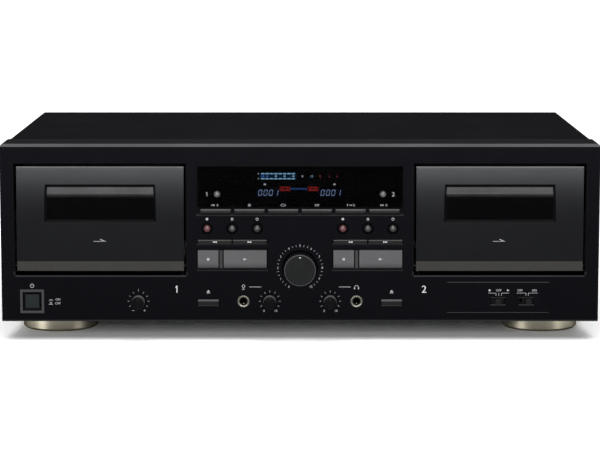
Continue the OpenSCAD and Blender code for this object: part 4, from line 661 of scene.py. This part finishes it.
marks = Marks(PANEL_FACE)
marks.one(-89.7, DECK_NUMERAL_Z, DECK_NUMERAL_H)
marks.glyphs("2", 90.4, DECK_NUMERAL_Z, DECK_NUMERAL_H)
marks.place("deck_numerals", "case", print_bright)

marks = Marks(PANEL_FACE)
# Level dial: numerals every 30 degrees and two ticks between them
for number in range(11):
    angle = math.radians(30 * number - DIAL_TURN)
    across, up = DIAL_NUMERAL_R * math.sin(angle), DIAL_NUMERAL_R * math.cos(angle)
    marks.glyphs(str(number), across, BIG_KNOB_Z + up, 1.7)
marks.ticks(0, BIG_KNOB_Z, *DIAL_TICKS, [10 * i - DIAL_TURN for i in range(31) if i % 3], 0.2)
# Small dials: nine ticks, 0 to 10 on the level knobs and minus to plus on the pitch knob
for x in SMALL_KNOBS.values():
    marks.ticks(x, LOW_ROW_Z, *SMALL_TICKS, range(-SMALL_DIAL_TURN, SMALL_DIAL_TURN + 1, 30), 0.21)
marks.line((PITCH_X, LOW_ROW_Z + 6.5), (PITCH_X, LOW_ROW_Z + 8.9), 0.28)
for x in (PITCH_X - 3.9, PITCH_X + 4.4):
    marks.line((x - 0.8, 22.6), (x + 0.8, 22.6), MEDIUM)
marks.line((PITCH_X + 4.4, 21.8), (PITCH_X + 4.4, 23.4), MEDIUM)
for x in (MIC_X, PHONES_X):
    marks.glyphs("0", x - 4.3, SMALL_DIAL_FOOT_Z, SMALL_TEXT)
    marks.glyphs("10", x + 4.5, SMALL_DIAL_FOOT_Z, SMALL_TEXT)
# Lead lines between the jacks' symbols and their knobs
marks.line((-37.0, LEAD_Z), (-28.3, LEAD_Z), BOLD)
marks.line((28.3, LEAD_Z), (37.0, LEAD_Z), BOLD)
# Microphone and headphones above the jacks
mic, phones = JACKS
marks.ring(mic, 40.6, 1.0, BOLD)
marks.line((mic, 39.7), (mic, 38.3), 0.45)
marks.line((mic - 1, 38.2), (mic + 1, 38.2), MEDIUM)
marks.arc(phones, 39.6, 1.5, -90, 90, BOLD)
for s in (-1, 1):
    marks.box(phones + 1.45 * s, 39.1, 0.8, 1.5)
# Eject symbols over the eject keys
for x in EJECTS_X:
    marks.area([(x - 1.2, 36.2), (x + 1.2, 36.2), (x, 37.9)])
    marks.box(x, 35.6, 2.4, 0.45)
# Power symbol, and the pressed and released states beside the button
marks.arc(-195.3, 40.9, 1.3, 30, 330, BOLD)
marks.line((-195.3, 41.0), (-195.3, 42.7), BOLD)
for z, word in ((30.8, "ON"), (27.9, "OFF")):
    marks.glyphs(word, -176.6, z, SMALL_TEXT)
    marks.line((-183.2, z - 0.7), (-180.2, z - 0.7))
marks.frame(-181.7, 30.4, 1.4, 0.9)
marks.frame(-181.7, 28.1, 1.4, 1.6)
# Symbols over the round buttons
for record, pause, mute in ROUND_BUTTONS.values():
    marks.disc(record, ROUND_LABEL_Z, 0.95)
    for s in (-0.5, 0.5):
        marks.box(pause + s, ROUND_LABEL_Z, 0.5, 1.9)
    marks.ring(mute, ROUND_LABEL_Z, 0.85, BOLD)
# Slide switches: brackets from the three and two positions to their marks
for x, steps in ((144.9, (-2.0, 0.0, 2.0)), (165.6, (-0.9, 0.9))):
    for step in steps:
        marks.line((x + step, 33.6), (x + step, 35.6), MEDIUM)
    marks.line((x + steps[0], 35.5), (x - 7.6, 35.5))
    marks.line((x + steps[-1], 35.5), (x + 7.6, 35.5))
marks.disc(138.2, SWITCH_LABEL_Z, 0.8)
marks.triangle(151.8, SWITCH_LABEL_Z, 1.7, 1.7)
for x, word in ((144.9, "OFF"), (160.4, "OFF"), (170.8, "ON")):
    marks.glyphs(word, x, SWITCH_LABEL_Z, SMALL_TEXT)
marks.place("panel_print", "case", print_ink)

# Thin lines over and under the slide switches and their slots
marks = Marks(PANEL_FACE)
marks.box(144.35, 43.5, 74.1, 0.3)
marks.box(144.35, 21.2, 74.1, 0.2)
for x in SWITCHES_X:
    marks.box(x, 32.25, 10.9, 0.15)
    marks.box(x, 26.75, 10.9, 0.35)
marks.place("panel_lines", "case", print_faint)

# Marks in the sunk surround and on the display window
marks = Marks(WINDOW_FACE)
marks.one(-67.4, RESET_Z, 3.0, 0.14)
marks.glyphs("2", 67.6, RESET_Z, 3.1)
marks.place("window_numerals", "case", print_ink)

# Symbols over the thin keys: to zero, display light, repeat, both decks at once, copy from 1 to 2
marks = Marks(WINDOW_FACE)
z = THIN_LABEL_Z
for key in both("return_zero_key"):
    x = THIN_KEYS[key]
    marks.triangle(x - 1.6, z, 1.5, 1.5, -1)
    marks.box(x - 2.7, z, 0.35, 1.5)
    marks.glyphs("0", x + 1.4, z, SMALL_TEXT)
x = THIN_KEYS["dimmer_key"]
marks.disc(x, z, 0.5)
marks.ticks(x, z, 0.8, 1.25, range(0, 360, 45), 0.22)
x = THIN_KEYS["repeat_key"]
marks.arc(x - 0.9, z, 0.75, 180, 350)
marks.arc(x + 0.9, z, 0.75, 0, 170)
marks.line((x - 0.9, z + 0.75), (x + 0.4, z + 0.75))
marks.line((x - 0.4, z - 0.75), (x + 0.9, z - 0.75))
x = THIN_KEYS["parallel_key"]
for s in (-0.45, 0.45):
    marks.line((x - 1.6, z + s), (x + 1.0, z + s))
    marks.triangle(x + 1.3, z + s, 0.8, 0.7)
x = THIN_KEYS["dub_key"]
marks.one(x - 2.3, z, SMALL_TEXT, 0.2)
marks.line((x - 1.3, z), (x + 0.5, z))
marks.triangle(x + 0.8, z, 1.0, 1.1)
marks.glyphs("2", x + 2.4, z, SMALL_TEXT)
marks.place("window_print", "case", print_ink)


# Marks on the keys, the doors and the knobs

def key_mark(name, key, draw, material):
    """A mark on the face of one wide key, drawn by draw(marks)."""
    marks = Marks(WIDE_KEY_FACE)
    draw(marks)
    marks.place(name, key, material)


for deck, (stop, play, rewind, forward) in KEY_MARKS.items():
    key_mark(f"stop_mark_{deck}", f"stop_key_{deck}", lambda m: m.box(stop, PLAY_Z, 1.8, 1.8), print_ink)
    key_mark(f"play_mark_{deck}", f"play_key_{deck}", lambda m: m.triangle(play, PLAY_Z, 2.5, 2.0), print_ink)
    for kind, x, way in (("rewind", rewind, -1), ("forward", forward, 1)):
        key_mark(f"{kind}_mark_{deck}", f"{kind}_key_{deck}",
                 lambda m: [m.triangle(x + s, WIND_Z, 1.5, 1.3, way) for s in (-0.8, 0.8)], print_bright)

for deck, x in DOORS_X.items():
    # Way the tape runs: an arrow with half a head
    arrow = Marks(PANEL_FACE)
    arrow.line((x - 5.0, ARROW_Z), (x + 3.0, ARROW_Z), MEDIUM)
    arrow.area([(x + 2.6, ARROW_Z - 0.15), (x - 0.6, ARROW_Z + 1.6), (x + 0.4, ARROW_Z + 1.6),
                (x + 4.2, ARROW_Z - 0.15)])
    arrow.place(f"door_arrow_{deck}", f"door_{deck}", print_ink)
    band = Marks(PANEL_FACE, proud=0.15, sunk=0.05)
    band.box(x, BAND_Z, BAND_W, BAND_H)
    band.place(f"door_band_{deck}", f"door_{deck}", band_grey, slot="door_plastic")

# Fluted grips of the small knobs, with a pointer groove painted black as its shade
GRIP = [(0, GRIP_FACE), (3.3, GRIP_FACE), (3.85, -137.85), (4.25, -137.5), (4.52, -136.95),
        (4.7, -136.2), (4.7, -130.2), (4.4, -130.0), (0, -130.0)]
for knob, x in SMALL_KNOBS.items():
    name = knob.removesuffix("_knob")
    turned(f"{name}_grip", GRIP, x, LOW_ROW_Z, knob, grip_plastic, steps=96, flutes=16, flute_depth=0.22)
    line = Marks(GRIP_FACE)
    line.box(x, LOW_ROW_Z + 2.2, 0.5, 2.2)
    line.place(f"{name}_pointer", knob, pointer_black)

# Domed caps of the round buttons, drawn as radii and heights for a dome of radius 2.6
DOME_R, CROWN = 2.6, 1.35
DOME = ((0, CROWN), (0.8, 1.28), (1.5, 1.07), (2.05, 0.72), (2.4, 0.3), (2.55, -0.2), (DOME_R, -0.9), (0, -0.9))
ROUND_CAP = (1.5, 2.66)  # how far the crown stands out from the panel's face, and the radius
RESET_CAP = (1.3, 2.4)


def dome(name, button, x, z, out, radius, material, slot):
    """A domed cap on a button."""
    profile = [(r * radius / DOME_R, PANEL_FACE + CROWN - out - rise) for r, rise in DOME]
    turned(name, profile, x, z, button, material, smooth=True)


for deck, (record, pause, mute) in ROUND_BUTTONS.items():
    dome(f"record_cap_{deck}", f"record_button_{deck}", record, ROUND_Z, *ROUND_CAP, cap_red, "button_red")
    dome(f"pause_cap_{deck}", f"pause_button_{deck}", pause, ROUND_Z, *ROUND_CAP, cap_dark, "button_dark")
    dome(f"mute_cap_{deck}", f"mute_button_{deck}", mute, ROUND_Z, *ROUND_CAP, cap_dark, "button_dark")
    dome(f"reset_cap_{deck}", f"counter_reset_{deck}", RESETS_X[deck], RESET_Z, *RESET_CAP, cap_grey,
         "button_grey")

# Caps of the thin keys: a sloped upper part over a groove and a narrow foot
THIN_CAP_W = 21.4
THIN_CAP = [(y, THIN_Z + rise) for y, rise in (
    (-128.1, 1.4), (-128.9, 0.7), (-128.9, 0.15), (-128.7, 0.05),
    (-128.7, -0.3), (-128.85, -0.4), (-128.85, -1.3), (-128.1, -1.3))]
for key, x in THIN_KEYS.items():
    drawn(f"{key}_cap", THIN_CAP, x, THIN_CAP_W, key, key_dark)

# Rounded rims of the jacks, with a sleeve and a contact spring inside each bore
RIM = [(2.8, -129.0), (2.8, -129.4), (3.15, -129.85), (3.75, -129.98), (4.35, -129.8), (4.6, -129.3),
       (4.6, -129.0)]
SLEEVE = [(3.25, -129.0), (2.2, -127.6), (2.2, -122.0), (3.25, -122.0)]
SPRING = [(0, -128.7), (0.45, -128.55), (0.75, -128.1), (0.8, -127.0), (0, -127.0)]
for number, x in enumerate(JACKS, 1):
    turned(f"jack_rim_{number}", RIM, x, LOW_ROW_Z, "case", ring_nickel)
    turned(f"jack_sleeve_{number}", SLEEVE, x, LOW_ROW_Z, "case", ring_nickel)
    turned(f"jack_spring_{number}", SPRING, x, LOW_ROW_Z - 1.75, "case", ring_nickel, steps=24,
           smooth=True)


# Display: lit segments on the face of the tube, behind the window

SEGMENTS = {
    "a": ((0.1, 1.0), (0.9, 1.0)), "b": ((1.0, 0.95), (1.0, 0.55)), "c": ((1.0, 0.45), (1.0, 0.05)),
    "d": ((0.1, 0.0), (0.9, 0.0)), "e": ((0.0, 0.45), (0.0, 0.05)), "f": ((0.0, 0.95), (0.0, 0.55)),
}
LIT = {"0": "abcdef", "1": "bc"}
COUNTERS_X = (-30.4, 15.0)  # left end of each counter
COUNTER_Z = 106.6
DIGIT_W, DIGIT_H, DIGIT_STEP = 2.2, 4.1, 3.9
DIGIT_SLANT, DIGIT_STROKE = 0.18, 0.28
BAR_X, BAR_STEP, BARS = -27.0, 3.16, 8
BAR_ROWS_Z = (122.6, 118.9)
CELL_Z = 120.75
SCALE_Z = 120.7
LAMPS_X = (-10.95, 9.55)
LAMP_Z = 111.5


def digit(display, char, x):
    """One seven-segment figure of a counter, leaning to the right, from its left end."""
    def corner(across, up):
        return x + across * DIGIT_W + up * DIGIT_H * DIGIT_SLANT, COUNTER_Z + up * DIGIT_H

    for name in LIT[char]:
        a, b = SEGMENTS[name]
        display.line(corner(*a), corner(*b), DIGIT_STROKE)


bars, digits, white, blue, red, rose = (Marks(TUBE_FACE, proud=0.08) for _ in range(6))
for start in COUNTERS_X:
    for k, char in enumerate("0001"):
        digit(digits, char, start + DIGIT_STEP * k)
# Level bars of both channels, with cells between them and a letter's place before each
for z in BAR_ROWS_Z:
    for k in range(BARS):
        bars.box(BAR_X + BAR_STEP * k, z, 2.5, 0.95)
for k, w in ((0, 2.2), (1, 1.6)):
    blue.box(BAR_X + BAR_STEP * k, CELL_Z, w, 1.2)
for k in (3, 5, 7):
    bars.box(BAR_X + BAR_STEP * k, CELL_Z, 1.4, 1.1)
for z in (122.6, 119.1):
    white.box(-30.2, z, 0.6, 0.9)
for x in (-25.5, 25.0):
    white.box(x, 114.8, 1.7, 1.1)
# Scale beside the bars
white.box(1.8, SCALE_Z, 0.9, 1.3)
bars.glyphs("10", 8.6, SCALE_Z, 1.7)
for x, text in ((14.6, "0"), (21.2, "3"), (27.0, "6")):
    rose.glyphs(text, x, SCALE_Z, 1.7)
# Record lamps of both decks, joined by a row of arrows
for x in LAMPS_X:
    red.frame(x, LAMP_Z, 7.7, 3.2, 0.4)
    for s in (-1, 1):
        red.box(x, LAMP_Z + 0.8 * s, 6.2, 0.65)
        red.box(x + 2.2 * s, LAMP_Z, 1.4, 0.8)
for k in range(6):
    blue.triangle(-5.9 + 2.05 * k, LAMP_Z, 1.4, 1.5)
# Faint light round the bars and the counters
halo = Marks(TUBE_FACE, proud=0.03)
halo.box(-15.9, CELL_Z, 26.6, 5.2)
halo.place("display_halo", "case", glow_halo)
dim = Marks(TUBE_FACE, proud=0.03)
for start in COUNTERS_X:
    dim.box(start + 7.6, 108.6, 18.4, 6.4)
dim.place("counter_halo", "case", glow_dim)
bars.place("level_bars", "case", glow_bar)
digits.place("counter_digits", "case", glow_digit)
white.place("display_marks", "case", glow_white)
blue.place("display_scale", "case", glow_blue)
rose.place("overload_scale", "case", glow_rose)
red.place("record_lamps", "case", glow_red)


# Rear: coloured insulators of the phono sockets

UPPER_Z, LOWER_Z = 61.0, 46.0
INSULATOR = [(4.3, REAR_FACE), (5.9, REAR_FACE), (5.9, 135.2), (5.6, 135.5), (4.3, 135.5)]
PHONO_SOCKETS = [(x, z) for x in (157.5, 172.5) for z in (UPPER_Z, LOWER_Z)]
for number, (x, z) in enumerate(PHONO_SOCKETS, 1):
    colour = socket_white if z == UPPER_Z else socket_red
    turned(f"phono_ring_{number}", INSULATOR, x, z, "case", colour)


# Studio: floor, lamps and camera

WHITE = (1.0, 1.0, 1.0)
FLOOR_GREY = (0.80, 0.80, 0.80)
FLOOR_HALF = 20.0  # in metres

# The floor is white where it is seen, and keeps the object's shadow
graph = Graph(bpy.data.materials.new("floor_paint"))
tone = graph.blend(graph.seen(), FLOOR_GREY, WHITE)
floor_paint = graph.output(graph.add("BsdfDiffuse", {"Color": tone}).outputs["BSDF"])
floor_mesh = bpy.data.meshes.new("floor")
corners = [(x * FLOOR_HALF, y * FLOOR_HALF, 0) for x, y in ((-1, -1), (1, -1), (1, 1), (-1, 1))]
floor_mesh.from_pydata(corners, [], [(0, 1, 2, 3)])
floor_mesh.materials.append(floor_paint)
floor = link(bpy.data.objects.new("floor", floor_mesh))


def turn_to(obj, place, aim):
    """Puts a lamp or camera at place and faces it to aim."""
    obj.location = Vector(place) * MM
    obj.rotation_euler = (Vector(aim) - Vector(place)).to_track_quat("-Z", "Y").to_euler()


def softbox(name, place, aim, width, height, radiance):
    """A rectangular lamp at place that faces aim; its face has that radiance."""
    lamp = bpy.data.lights.new(name, "AREA")
    lamp.shape = "RECTANGLE"
    lamp.size, lamp.size_y = width * MM, height * MM
    lamp.energy = radiance * math.pi * lamp.size * lamp.size_y
    obj = link(bpy.data.objects.new(name, lamp))
    turn_to(obj, place, aim)
    obj.visible_camera = False
    return obj


def only(lamp, *objects, but=False):
    """The lamp lights just these objects, or with but all the others."""
    chosen = bpy.data.collections.new(f"{lamp.name}_chosen")
    for obj in objects:
        chosen.objects.link(obj)
    lamp.light_linking.receiver_collection = chosen
    if but:
        for entry in chosen.collection_objects:
            entry.light_linking.link_state = "EXCLUDE"


# A narrow strip lights the front like a window, and the floor and feet have softer lamps of their own
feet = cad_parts["feet"]
only(softbox("front_strip", (0, -2750, 476), (0, -128, 90), 1800, 220, 50.0), floor, feet, but=True)
only(softbox("front_soft", (0, -2300, 720), (0, -128, 0), 2200, 620, 9.0), floor)
only(softbox("left_strip", (-1400, -950, 150), (-181, -90, 8), 420, 340, 48.0), feet)
only(softbox("right_strip", (1400, -950, 160), (181, -90, 8), 420, 300, 22.0), feet)
softbox("back_floor", (0, 3800, 2600), (0, 3800, 0), 6000, 5600, 1.2)
overhead = bpy.data.lights.new("overhead", "SUN")
overhead.energy = 0.80 * math.pi
overhead.angle = math.radians(50)
link(bpy.data.objects.new("overhead", overhead)).rotation_euler = (math.radians(30), 0, 0)

# The world is white where it is seen, and its light comes softly from overhead
LOW_SKY = (0.012, 0.012, 0.014)
HIGH_SKY = (0.45, 0.45, 0.46)
graph = Graph(bpy.data.worlds.new("studio"))
height = graph.add("SeparateXYZ", {"Vector": graph.add("TexCoord").outputs["Generated"]}).outputs["Z"]
rise = graph.add("MapRange", {
    "Value": height, "From Min": 0.22, "From Max": 0.75,
}, interpolation_type="SMOOTHSTEP").outputs["Result"]
tone = graph.blend(graph.seen(), graph.blend(rise, LOW_SKY, HIGH_SKY), WHITE)
backdrop = graph.add("Background", {"Color": tone}).outputs["Background"]
bpy.context.scene.world = graph.output(backdrop, "World")
bpy.context.scene.view_settings.view_transform = "Standard"

# Place and aim of the camera, worked out from the photograph
CAMERA_PLACE = (0, -1784.5, 311.7)
CAMERA_AIM = (0, -128.5, 85.6)
camera_data = bpy.data.cameras.new("camera")
camera_data.lens = 138.1
camera_data.sensor_width = 36.0
camera_data.clip_start, camera_data.clip_end = 0.05, 60.0  # in metres
camera = link(bpy.data.objects.new("camera", camera_data))
turn_to(camera, CAMERA_PLACE, CAMERA_AIM)
bpy.context.scene.camera = camera
